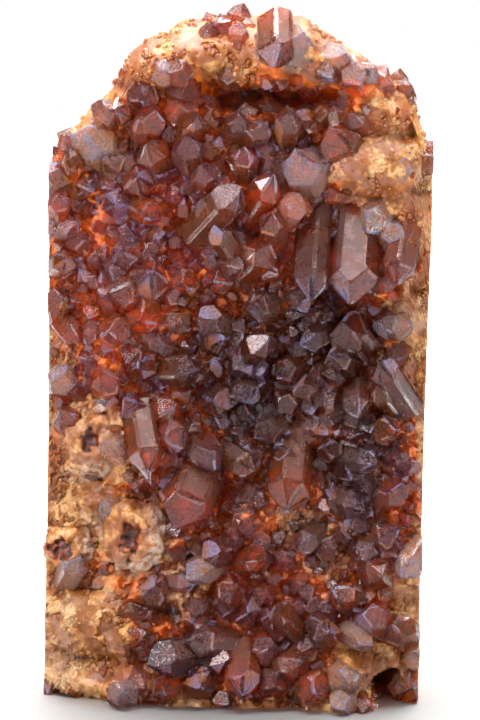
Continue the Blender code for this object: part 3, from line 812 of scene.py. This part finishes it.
def make_scatter_tree():
    """The tree that stands small points on a bed."""
    tree = bpy.data.node_groups.new("scatter points", "GeometryNodeTree")
    for title, kind in SCATTER_INPUTS.items():
        tree.interface.new_socket(title, in_out="INPUT", socket_type=kind)
    tree.interface.new_socket("Points", in_out="OUTPUT", socket_type="NodeSocketGeometry")
    into = add_node(tree, "NodeGroupInput").outputs
    out = add_node(tree, "NodeGroupOutput")
    link = tree.links.new

    # Places on the bed, at an even spacing, where the mask lets them be
    mask = add_node(tree, "GeometryNodeInputNamedAttribute", data_type="FLOAT")
    link(into["Mask"], mask.inputs["Name"])
    drop = add_node(tree, "GeometryNodeDistributePointsOnFaces", distribute_method="POISSON")
    link(into["Bed"], drop.inputs["Mesh"])
    link(into["Spacing"], drop.inputs["Distance Min"])
    link(into["Most per Area"], drop.inputs["Density Max"])
    link(mask.outputs["Attribute"], drop.inputs["Density Factor"])
    link(into["Seed"], drop.inputs["Seed"])

    # Upwards by the lean mask, then a tilt and a turn by chance
    minus = add_node(tree, "ShaderNodeMath", operation="MULTIPLY")
    minus.inputs[1].default_value = -1.0
    link(into["Tilt"], minus.inputs[0])
    tilt = add_node(tree, "FunctionNodeRandomValue", data_type="FLOAT_VECTOR")
    turn_least = add_node(tree, "ShaderNodeCombineXYZ")
    turn_most = add_node(tree, "ShaderNodeCombineXYZ")
    turn_most.inputs["Z"].default_value = math.tau
    for axis in ("X", "Y"):
        link(minus.outputs[0], turn_least.inputs[axis])
        link(into["Tilt"], turn_most.inputs[axis])
    link(turn_least.outputs[0], tilt.inputs["Min"])
    link(turn_most.outputs[0], tilt.inputs["Max"])
    link(into["Seed"], tilt.inputs["Seed"])
    lean = add_node(tree, "GeometryNodeInputNamedAttribute", data_type="FLOAT")
    lean.inputs["Name"].default_value = "lean"
    up = add_node(tree, "ShaderNodeMath", operation="MULTIPLY")
    up.inputs[1].default_value = -1.0
    link(lean.outputs["Attribute"], up.inputs[0])
    about_x = add_node(tree, "ShaderNodeCombineXYZ")
    link(up.outputs[0], about_x.inputs["X"])
    leant = add_node(tree, "FunctionNodeRotateRotation", rotation_space="GLOBAL")
    link(drop.outputs["Rotation"], leant.inputs["Rotation"])
    link(about_x.outputs[0], leant.inputs["Rotate By"])
    turned = add_node(tree, "FunctionNodeRotateRotation", rotation_space="LOCAL")
    link(leant.outputs["Rotation"], turned.inputs["Rotation"])
    link(tilt.outputs["Value"], turned.inputs["Rotate By"])

    # A width by chance
    even = add_node(tree, "FunctionNodeRandomValue", data_type="FLOAT")
    bias = add_node(tree, "ShaderNodeMath", operation="POWER")
    bias.inputs[1].default_value = SIZE_BIAS
    spread = add_node(tree, "ShaderNodeMapRange")
    link(into["Seed"], even.inputs["Seed"])
    link(even.outputs[1], bias.inputs[0])
    link(bias.outputs[0], spread.inputs["Value"])
    link(into["Smallest"], spread.inputs["To Min"])
    link(into["Largest"], spread.inputs["To Max"])

    # One of the patterns on each place
    shapes = add_node(tree, "GeometryNodeCollectionInfo")
    shapes.inputs["Separate Children"].default_value = True
    shapes.inputs["Reset Children"].default_value = True
    link(into["Patterns"], shapes.inputs["Collection"])
    stand = add_node(tree, "GeometryNodeInstanceOnPoints")
    stand.inputs["Pick Instance"].default_value = True
    link(drop.outputs["Points"], stand.inputs["Points"])
    link(shapes.outputs[0], stand.inputs["Instance"])
    link(turned.outputs["Rotation"], stand.inputs["Rotation"])
    link(spread.outputs["Result"], stand.inputs["Scale"])

    # A tone of its own for each, then plain mesh with its two finishes
    tone = add_node(tree, "FunctionNodeRandomValue", data_type="FLOAT")
    link(into["Seed"], tone.inputs["Seed"])
    keep = add_node(tree, "GeometryNodeStoreNamedAttribute", data_type="FLOAT", domain="INSTANCE")
    keep.inputs["Name"].default_value = "tone"
    link(stand.outputs["Instances"], keep.inputs["Geometry"])
    link(tone.outputs[1], keep.inputs["Value"])
    real = add_node(tree, "GeometryNodeRealizeInstances")
    finish = add_node(tree, "GeometryNodeSetMaterial")
    link(keep.outputs["Geometry"], real.inputs["Geometry"])
    link(real.outputs["Geometry"], finish.inputs["Geometry"])
    link(into["Finish"], finish.inputs["Material"])
    cloudy = add_node(tree, "GeometryNodeInputNamedAttribute", data_type="FLOAT")
    cloudy.inputs["Name"].default_value = "cloudy"
    chosen = add_node(tree, "FunctionNodeCompare", data_type="FLOAT", operation="GREATER_THAN")
    chosen.inputs["B"].default_value = 0.5
    rims = add_node(tree, "GeometryNodeSetMaterial")
    link(cloudy.outputs["Attribute"], chosen.inputs["A"])
    link(finish.outputs["Geometry"], rims.inputs["Geometry"])
    link(chosen.outputs["Result"], rims.inputs["Selection"])
    link(into["Rim Finish"], rims.inputs["Material"])
    link(rims.outputs["Geometry"], out.inputs["Points"])
    return tree


scatter_tree = make_scatter_tree()


def trim_to_saw(obj):
    """Cuts off what reaches beyond the sawn sides and the base, and closes each cut point."""
    bm = bmesh.new()
    bm.from_mesh(obj.data)
    for point, normal in SAW_CUTS:
        everything = bm.verts[:] + bm.edges[:] + bm.faces[:]
        cut = bmesh.ops.bisect_plane(
            bm, geom=everything, plane_co=point * M, plane_no=normal, clear_outer=True
        )
        edges = [item for item in cut["geom_cut"] if isinstance(item, bmesh.types.BMEdge)]
        bmesh.ops.edgeloop_fill(bm, edges=edges)
    bmesh.ops.recalc_face_normals(bm, faces=bm.faces[:])
    bm.to_mesh(obj.data)
    bm.free()


def scatter(name, ground, material, rim_material, **sizes):
    """Runs the scattering tree on a ground and keeps the result as a plain mesh, trimmed by the saw."""
    modifier = ground.modifiers.new(name, "NODES")
    modifier.node_group = scatter_tree
    titles = scatter_tree.interface.items_tree
    sockets = {item.name: item.identifier for item in titles if item.in_out == "INPUT"}
    for socket, value in {**sizes, "Finish": material, "Rim Finish": rim_material}.items():
        modifier[sockets[socket.replace("_", " ")]] = value
    ground.update_tag()
    found = ground.evaluated_get(bpy.context.evaluated_depsgraph_get())
    mesh = bpy.data.meshes.new_from_object(found)
    ground.modifiers.remove(modifier)
    mesh.name = name
    obj = bpy.data.objects.new(name, mesh)
    bpy.context.scene.collection.objects.link(obj)
    trim_to_saw(obj)
    # Realizing leaves an empty first slot, which the caps of the cut points would use.
    slots = [max(0, face.material_index - 1) for face in mesh.polygons]
    mesh.materials.pop(index=0)
    mesh.polygons.foreach_set("material_index", slots)
    print(f"{name}: {len(mesh.polygons)} faces, finished with {[slot.name for slot in mesh.materials]}")
    return obj


# %% [markdown]
# ## The finish of the stone
# All of the stone's materials are built from the same four stains. Each could be coloured by itself, but
# two node groups that mix the stains into colours do it for all, one for the massive quartz and one for the
# points, so that a change of the orange, say, reaches every piece at once.

# %% The colours
# Of massive quartz: what the stains are mixed from, and the dark cores of the broken lumps.
ORANGE = (0.88, 0.19, 0.015)
RUST = (0.42, 0.10, 0.02)
MAROON = (0.15, 0.035, 0.012)
HONEY = (0.60, 0.26, 0.06)
CREAM = (0.74, 0.47, 0.24)
AMBER = (0.28, 0.09, 0.018)
EMBER = (0.36, 0.08, 0.015)
FLESH = (0.46, 0.27, 0.18)
CORE_DARK = (0.05, 0.009, 0.005)
CORE_RED = (0.24, 0.035, 0.008)
VIOLET = (0.42, 0.14, 0.21)
NIGHT = (0.09, 0.025, 0.012)
# Lavender of milky wisps inside the points, and of the painted glint along the rims of their tips.
LAVENDER_MILK_AND_GLINT = (0.44, 0.48, 0.86)
LUMP_SKIN = (0.68, 0.58, 0.50)
# Of light that has passed through a point, and of the frost on some faces.
# The frost colour is partly a painted sheen: the pale flash of faces turned to a soft box.
CLEAR = (0.80, 0.34, 0.19)
VIOLET_GLASS = (0.44, 0.14, 0.22)
HONEY_GLASS = (0.85, 0.32, 0.07)
ORANGE_GLASS = (0.95, 0.27, 0.04)
WINE_GLASS = (0.60, 0.16, 0.06)
MAROON_GLASS = (0.34, 0.08, 0.025)
NIGHT_GLASS = (0.13, 0.06, 0.075)
PALE_GLASS = (0.66, 0.43, 0.33)
FROST_AND_SHEEN = (0.78, 0.58, 0.60)
BLACK = (0.0, 0.0, 0.0)


# %% Helpers for shader nodes
def mixed(tree, factor, first, second):
    """The socket of a colour mix. A factor or colour is a socket or a plain value."""
    mix = add_node(tree, "ShaderNodeMix", data_type="RGBA")
    for socket, value in ((mix.inputs[0], factor), (mix.inputs[6], first), (mix.inputs[7], second)):
        if isinstance(value, bpy.types.NodeSocket):
            tree.links.new(value, socket)
        elif isinstance(value, tuple):
            socket.default_value = (*value, 1)
        else:
            socket.default_value = value
    return mix.outputs[2]


def maths(tree, operation, first, second=0.0):
    """The socket of one sum. A term is a socket or a number."""
    sum_node = add_node(tree, "ShaderNodeMath", operation=operation)
    for socket, value in zip(sum_node.inputs, (first, second)):
        if isinstance(value, bpy.types.NodeSocket):
            tree.links.new(value, socket)
        else:
            socket.default_value = value
    return sum_node.outputs[0]


def times(tree, first, second):
    return maths(tree, "MULTIPLY", first, second)


def plus(tree, first, second):
    return maths(tree, "ADD", first, second)


def grain(tree, scale, detail=3.0, roughness=0.6, offset=0.0):
    """The socket of a noise between 0 and 1. At a scale of 1000 its lumps are about 1 mm wide."""
    coordinates = add_node(tree, "ShaderNodeTexCoord")
    place = add_node(tree, "ShaderNodeMapping")
    place.inputs["Location"].default_value = (offset, 0, 0)
    texture = add_node(tree, "ShaderNodeTexNoise")
    texture.inputs["Scale"].default_value = scale
    texture.inputs["Detail"].default_value = detail
    texture.inputs["Roughness"].default_value = roughness
    tree.links.new(coordinates.outputs["Object"], place.inputs["Vector"])
    tree.links.new(place.outputs["Vector"], texture.inputs["Vector"])
    return texture.outputs["Fac"]


def ramp(tree, value, low, high):
    """The socket of a value stretched softly, so that low becomes 0 and high becomes 1."""
    stretch = add_node(tree, "ShaderNodeMapRange", interpolation_type="SMOOTHSTEP")
    tree.links.new(value, stretch.inputs["Value"])
    stretch.inputs["From Min"].default_value = low
    stretch.inputs["From Max"].default_value = high
    return stretch.outputs["Result"]


def new_group(name, inputs, outputs):
    """An empty shader node group with named sockets, and its two ends."""
    group = bpy.data.node_groups.new(name, "ShaderNodeTree")
    for title in inputs:
        group.interface.new_socket(title, in_out="INPUT", socket_type="NodeSocketFloat")
    for title, kind in outputs.items():
        group.interface.new_socket(title, in_out="OUTPUT", socket_type=kind)
    return group, add_node(group, "NodeGroupInput").outputs, add_node(group, "NodeGroupOutput").inputs


# %% Colour of the massive quartz
STAIN_TITLES = ("Iron", "Amethyst", "Smoke", "Milk")
GROUP_OUTPUTS = {"Color": "NodeSocketColor", "Roughness": "NodeSocketFloat", "Height": "NodeSocketFloat"}


def make_massive_group():
    """Amber to cream where the quartz is milky, rust to orange where it is not, then the other stains."""
    group, into, out = new_group(
        "stained massive quartz", (*STAIN_TITLES, "Proud"), {**GROUP_OUTPUTS, "Glow": "NodeSocketColor"}
    )
    link = group.links.new
    broad = grain(group, 110, 4, 0.65)
    fine = grain(group, 520, 4, 0.7, 3.0)
    speck = grain(group, 1500, 2, 0.6, 7.0)
    # Quartz without milk
    base = mixed(group, ramp(group, broad, 0.3, 0.55), RUST, ORANGE)
    base = mixed(group, ramp(group, fine, 0.58, 0.8), base, MAROON)
    # Milky quartz: amber in the hollows, honey where it stands proud, with flesh and ember spots
    height = plus(group, into["Proud"], times(group, maths(group, "SUBTRACT", broad, 0.5), 1.5))
    pale = mixed(group, ramp(group, height, 0.0, 0.9), AMBER, HONEY)
    flesh = grain(group, 75, 3, 0.6, 13.0)
    pale = mixed(group, times(group, ramp(group, flesh, 0.52, 0.62), 0.5), pale, FLESH)
    pale = mixed(group, times(group, ramp(group, fine, 0.52, 0.7), 0.4), pale, EMBER)
    # A cream skin on its proudest grains
    skin = plus(group, times(group, fine, -0.6), times(group, speck, -0.4))
    skin = times(group, ramp(group, skin, -0.54, -0.46), ramp(group, height, 0.2, 0.6))
    pale = mixed(group, times(group, skin, 0.65), pale, CREAM)
    # The stains
    milk = ramp(group, into["Milk"], 0.2, 0.55)
    colour = mixed(group, milk, base, pale)
    iron = times(group, into["Iron"], ramp(group, fine, 0.25, 0.6))
    colour = mixed(group, iron, colour, mixed(group, milk, ORANGE, EMBER))
    violet = times(group, into["Amethyst"], ramp(group, fine, 0.6, 0.4))
    colour = mixed(group, times(group, violet, 0.5), colour, VIOLET)
    colour = mixed(group, times(group, into["Smoke"], 0.85), colour, NIGHT)
    link(colour, out["Color"])
    link(plus(group, times(group, speck, 0.5), 0.1), out["Roughness"])
    link(plus(group, fine, speck), out["Height"])
    # Light that comes through the stone, kept in by milk and smoke
    glow = mixed(group, iron, RUST, ORANGE)
    kept_in = maths(group, "MAXIMUM", ramp(group, into["Milk"], 0.15, 0.45), into["Smoke"])
    link(mixed(group, kept_in, glow, BLACK), out["Glow"])
    return group


# %% Colour of the points
POINT_READS = (*STAIN_TITLES, "Veil", "Rise", "Tone", "Frost")


def make_point_group():
    """A stained root that changes to a clear, violet or smoky tip, with frost and painted sheen, wisps, pits
    and a veil with painted glint.
    """
    group, into, out = new_group("stained quartz point", POINT_READS, GROUP_OUTPUTS)
    link = group.links.new
    cloud = grain(group, 260, 3, 0.6)
    fine = grain(group, 1300, 3, 0.65, 5.0)
    hillocks = grain(group, 3200, 2, 0.6, 9.0)
    root = mixed(group, into["Iron"], HONEY_GLASS, ORANGE_GLASS)
    root = mixed(group, times(group, into["Amethyst"], 0.6), root, WINE_GLASS)
    root = mixed(group, into["Smoke"], root, MAROON_GLASS)
    tip = mixed(group, into["Amethyst"], CLEAR, VIOLET_GLASS)
    tip = mixed(group, times(group, into["Smoke"], 0.8), tip, NIGHT_GLASS)
    # Where the root ends depends on clouds and on each point's own tone
    along = plus(group, into["Rise"], times(group, maths(group, "SUBTRACT", cloud, 0.5), 1.2))
    along = plus(group, along, times(group, maths(group, "SUBTRACT", into["Tone"], 0.5), 0.5))
    colour = mixed(group, ramp(group, along, 0.45, 0.95), root, tip)
    milky = times(group, ramp(group, into["Milk"], 0.45, 0.75), ramp(group, cloud, 0.3, 0.6))
    colour = mixed(group, milky, colour, PALE_GLASS)
    # Sugar on milky points and frost on some faces, in a pale colour that is partly a painted sheen
    sugary = times(group, ramp(group, into["Milk"], 0.3, 0.6), ramp(group, fine, 0.5, 0.62))
    colour = mixed(group, times(group, sugary, 0.6), colour, FROST_AND_SHEEN)
    frost_sheen = times(group, ramp(group, into["Frost"], 0.65, 0.9), ramp(group, fine, 0.35, 0.6))
    colour = mixed(group, times(group, frost_sheen, 0.5), colour, FROST_AND_SHEEN)
    # Lavender wisps inside, and dark specks
    streaks = maths(group, "ABSOLUTE", maths(group, "SUBTRACT", grain(group, 420, 4, 0.6, 21.0), 0.5))
    wisps = times(group, ramp(group, streaks, 0.03, 0.0), ramp(group, into["Rise"], 0.3, 0.8))
    colour = mixed(group, times(group, wisps, 0.5), colour, LAVENDER_MILK_AND_GLINT)
    colour = mixed(group, times(group, ramp(group, fine, 0.55, 0.75), 0.4), colour, MAROON_GLASS)
    # The veil along the rims of the tip, partly milky quartz and partly a painted glint along the ridges
    veil = times(group, into["Veil"], ramp(group, cloud, 0.35, 0.6))
    veil = times(group, veil, ramp(group, into["Rise"], 0.45, 0.9))
    colour = mixed(group, veil, colour, LAVENDER_MILK_AND_GLINT)
    link(colour, out["Color"])
    # Veils, frost, pits and the striped sides dull the gloss
    haze = plus(group, times(group, veil, 0.3), times(group, frost_sheen, 0.25))
    dull = maths(group, "MAXIMUM", ramp(group, into["Tone"], 0.3, 0.75), ramp(group, into["Milk"], 0.3, 0.6))
    pitted = times(group, ramp(group, fine, 0.42, 0.6), dull)
    haze = plus(group, haze, times(group, pitted, 0.2))
    side = times(group, ramp(group, into["Rise"], 0.7, 0.5), ramp(group, cloud, 0.3, 0.55))
    haze = plus(group, haze, times(group, side, 0.3))
    link(plus(group, haze, 0.04), out["Roughness"])
    uneven = plus(group, times(group, ramp(group, into["Tone"], 0.35, 0.8), 0.8), 0.25)
    link(plus(group, pitted, times(group, hillocks, uneven)), out["Height"])
    return group


massive_group = make_massive_group()
point_group = make_point_group()
print("groups:", len(massive_group.nodes), "and", len(point_group.nodes), "nodes")

# %% [markdown]
# ## The materials
# The points are real see-through quartz: plain transmission, quartz's own IOR of 1.54, and absorption that
# deepens the colour with thickness. Clear points, cloudy rims and fine points differ in how much light goes
# through and in the tint of what their faces throw back. A whole body of clear quartz would cost too much
# light to render, so the massive quartz scatters light under its surface, and where it isn't milky a weak
# emission stands in for the light that comes through the real stone.

# %% Materials
QUARTZ_IOR = 1.54
GLOW_STRENGTH = 0.15
# How the bumps of a surface stand: strength, and height in metres.
MASSIVE_BUMP = (0.7, 0.0003)
CLEAR_BUMP = (0.5, 0.0001)
MILKY_BUMP = (0.5, 0.0002)


def start_material(name, group, reads, bump_sizes):
    """A quartz whose colour, roughness and bump come from one group that reads the painted attributes."""
    material = bpy.data.materials.new(name)
    material.use_nodes = True
    tree = material.node_tree
    shader = tree.nodes["Principled BSDF"]
    stained = add_node(tree, "ShaderNodeGroup", node_tree=group)
    for title in reads:
        painted = add_node(tree, "ShaderNodeAttribute", attribute_name=title.lower())
        tree.links.new(painted.outputs["Fac"], stained.inputs[title])
    bump = add_node(tree, "ShaderNodeBump")
    bump.inputs["Strength"].default_value, bump.inputs["Distance"].default_value = bump_sizes
    tree.links.new(stained.outputs["Color"], shader.inputs["Base Color"])
    tree.links.new(stained.outputs["Roughness"], shader.inputs["Roughness"])
    tree.links.new(stained.outputs["Height"], bump.inputs["Height"])
    tree.links.new(bump.outputs["Normal"], shader.inputs["Normal"])
    shader.inputs["IOR"].default_value = QUARTZ_IOR
    return material, tree, shader, stained


def scatter_under(shader, weight, radius):
    """Light that scatters up to about 2 mm deep."""
    shader.inputs["Subsurface Weight"].default_value = weight
    shader.inputs["Subsurface Radius"].default_value = radius
    shader.inputs["Subsurface Scale"].default_value = 0.002


def massive_quartz(name):
    reads = (*STAIN_TITLES, "Proud")
    material, tree, shader, stained = start_material(name, massive_group, reads, MASSIVE_BUMP)
    tree.links.new(stained.outputs["Glow"], shader.inputs["Emission Color"])
    shader.inputs["Emission Strength"].default_value = GLOW_STRENGTH
    scatter_under(shader, 0.55, (1.0, 0.6, 0.3))
    return material, tree, shader, stained


def clear_quartz(name, reads, transmission, tint):
    """A stained but see-through point. The tint is that of the light which its faces throw back."""
    material, tree, shader, _ = start_material(name, point_group, (*STAIN_TITLES, *reads), CLEAR_BUMP)
    shader.inputs["Transmission Weight"].default_value = transmission
    shader.inputs["Specular Tint"].default_value = (*tint, 1)
    depth = add_node(tree, "ShaderNodeVolumeAbsorption")
    depth.inputs["Color"].default_value = (0.88, 0.28, 0.15, 1)
    depth.inputs["Density"].default_value = 100
    tree.links.new(depth.outputs["Volume"], tree.nodes["Material Output"].inputs["Volume"])
    return material


def milky_quartz():
    """A point on milky ground: half see-through, half scattering."""
    material, tree, shader, _ = start_material("milky_point", point_group, POINT_READS, MILKY_BUMP)
    shader.inputs["Transmission Weight"].default_value = 0.75
    scatter_under(shader, 0.3, (1.0, 0.45, 0.2))
    return material


def lump_quartz():
    """Massive quartz with a white skin and, where the lump has a core, a dark red hollow."""
    material, tree, shader, stained = massive_quartz("lump_quartz")
    skin = add_node(tree, "ShaderNodeAttribute", attribute_name="skin").outputs["Fac"]
    core = add_node(tree, "ShaderNodeAttribute", attribute_name="core").outputs["Fac"]
    fine = grain(tree, 700, 3, 0.6)
    white = times(tree, ramp(tree, skin, 0.1, 0.7), ramp(tree, fine, 0.4, 0.55))
    colour = mixed(tree, times(tree, white, 0.7), stained.outputs["Color"], LUMP_SKIN)
    red = mixed(tree, ramp(tree, fine, 0.4, 0.65), CORE_DARK, CORE_RED)
    colour = mixed(tree, ramp(tree, core, 0.1, 0.6), colour, red)
    tree.links.new(colour, shader.inputs["Base Color"])
    return material


# %% Dress the pieces that are there
massive = massive_quartz("massive_quartz")[0]
clear = clear_quartz("clear_point", ("Rise", "Tone", "Frost"), 0.93, (0.97, 0.80, 0.82))
cloudy = clear_quartz("cloudy_edge", ("Veil", "Rise", "Tone", "Frost"), 0.65, (0.97, 0.85, 0.92))
small = clear_quartz("small_point", ("Rise", "Tone", "Frost"), 0.93, (0.95, 0.45, 0.28))
milky = milky_quartz()
body.data.materials.append(massive)
lumps.data.materials.append(lump_quartz())
large_points.data.materials.append(clear)
large_points.data.materials.append(cloudy)
edges = np.zeros(len(large_points.data.polygons), dtype=np.float32)
large_points.data.attributes["cloudy"].data.foreach_get("value", edges)
large_points.data.polygons.foreach_set("material_index", (edges > 0.5).astype(np.int32))
milky_points.data.materials.append(milky)
print("faces with the cloudy finish:", int((edges > 0.5).sum()), "of", len(edges))

# %% Grow the small points
middling_points = scatter(
    "middling_points", bed, clear, cloudy, Patterns=rimmed_patterns, Spacing=2.5 * M, Most_per_Area=500000.0,
    Smallest=1.4 * M, Largest=3.1 * M, Tilt=0.7, Mask="druse", Seed=4,
)
fine_points = scatter(
    "fine_points", bed, small, small, Patterns=plain_patterns, Spacing=1.2 * M, Most_per_Area=1500000.0,
    Smallest=0.6 * M, Largest=1.5 * M, Tilt=0.7, Mask="fine", Seed=9,
)
crust_points = scatter(
    "crust_points", bed, massive, massive, Patterns=plain_patterns, Spacing=0.75 * M, Most_per_Area=4000000.0,
    Smallest=0.25 * M, Largest=0.75 * M, Tilt=1.0, Mask="crust", Seed=15,
)

# %% [markdown]
# ## Floor and light
# The stone stands on a white floor that runs out to a white background. Further out the floor glows a
# little, so that no horizon shows, and near the stone it is lit only from above and behind, which leaves
# the soft shadow in front of the foot. Three soft boxes, to the left, above and to the right, make some
# faces of a point flash while their neighbours stay deep. They could light the floor too, but then that
# shadow would be gone, so each has a black flag, as in a studio: light linking keeps it off the floor.

# %% Floor, soft boxes and surroundings
# Half the width of the floor in millimetres, and from where to where it starts to glow, in metres.
FLOOR_HALF = 3000
FLOOR_GLOW = (0.05, 0.3)


def make_floor():
    """A pale floor that glows more and more away from the stone."""
    corners = [(x * FLOOR_HALF, y * FLOOR_HALF, 0) for x, y in ((-1, -1), (1, -1), (1, 1), (-1, 1))]
    floor = mesh_from("floor", corners, [(0, 1, 2, 3)])
    material = bpy.data.materials.new("white_floor")
    material.use_nodes = True
    tree = material.node_tree
    shader = tree.nodes["Principled BSDF"]
    shader.inputs["Base Color"].default_value = (0.9, 0.9, 0.9, 1)
    shader.inputs["Roughness"].default_value = 0.6
    coordinates = add_node(tree, "ShaderNodeTexCoord")
    away = add_node(tree, "ShaderNodeVectorMath", operation="LENGTH")
    tree.links.new(coordinates.outputs["Object"], away.inputs[0])
    glow = mixed(tree, ramp(tree, away.outputs["Value"], *FLOOR_GLOW), BLACK, (1.0, 1.0, 1.0))
    tree.links.new(glow, shader.inputs["Emission Color"])
    shader.inputs["Emission Strength"].default_value = 0.85
    floor.data.materials.append(material)
    return floor


def soft_box(name, place, size, watts):
    """A rectangular area light that faces the middle of the stone. Its place and size are in metres."""
    data = bpy.data.lights.new(name, "AREA")
    data.shape = "RECTANGLE"
    data.size, data.size_y = size
    data.energy = watts
    light = bpy.data.objects.new(name, data)
    light.location = place
    light.rotation_euler = (CAMERA_TARGET - Vector(place)).to_track_quat("-Z", "Y").to_euler()
    bpy.context.scene.collection.objects.link(light)
    return light


def keep_off_floor(light):
    """Does what a black flag does in a studio: this light reaches the stone but not the floor."""
    flagged = bpy.data.collections.new(f"{light.name}_flag")
    flagged.objects.link(floor)
    flagged.collection_objects[0].light_linking.link_state = "EXCLUDE"
    light.light_linking.receiver_collection = flagged


def make_surroundings():
    """A room that is pale behind the stone, dim above and nearly dark in front. The camera sees it white."""
    world = bpy.data.worlds.new("studio")
    world.use_nodes = True
    tree = world.node_tree
    coordinates = add_node(tree, "ShaderNodeTexCoord")
    parts = add_node(tree, "ShaderNodeSeparateXYZ")
    tree.links.new(coordinates.outputs["Generated"], parts.inputs[0])
    behind = ramp(tree, parts.outputs["Y"], -0.3, 0.4)
    above = ramp(tree, parts.outputs["Z"], 0.2, 0.8)
    path = add_node(tree, "ShaderNodeLightPath")
    light = mixed(tree, behind, (0.01, 0.01, 0.01), (0.35, 0.35, 0.35))
    light = mixed(tree, above, light, (0.15, 0.15, 0.15))
    seen = mixed(tree, path.outputs["Is Camera Ray"], light, (1.0, 1.0, 1.0))
    tree.links.new(seen, tree.nodes["Background"].inputs["Color"])
    bpy.context.scene.world = world


floor = make_floor()
front_boxes = (
    soft_box("soft_box_left", (-0.5, -0.45, 0.5), (0.3, 0.3), 5.2),
    soft_box("soft_box_top", (0.0, -0.3, 0.8), (0.7, 0.35), 5.2),
    soft_box("soft_box_right", (0.6, -0.45, 0.25), (0.2, 0.35), 2.1),
)
for box in front_boxes:
    keep_off_floor(box)
soft_box("soft_box_back", (0.0, 0.22, 0.85), (0.9, 0.6), 13.0)
background_box = soft_box("soft_box_background", (0, 1.3, 1.3), (1.6, 1.6), 22.0)
background_box.rotation_euler = (math.radians(-8), 0, 0)
make_surroundings()

# %% How light is counted
# Clear points need many bounces, one for each face that a ray goes through.
scene = bpy.context.scene
scene.view_settings.view_transform = "Standard"
scene.cycles.max_bounces = 14
scene.cycles.transmission_bounces = 12
scene.cycles.glossy_bounces = 4
scene.cycles.diffuse_bounces = 3

# %% [markdown]
# ## Handing over
# The bed was only there to grow the small points on, so it goes. Every piece belongs to the one solid, takes
# its place in the picture, and has its finish.

# %% Hand over the pieces
bpy.data.objects.remove(bed)
pieces = (body, lumps, large_points, milky_points, middling_points, fine_points, crust_points)
for piece in pieces:
    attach(piece, "root")
    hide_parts("raw_citrine")
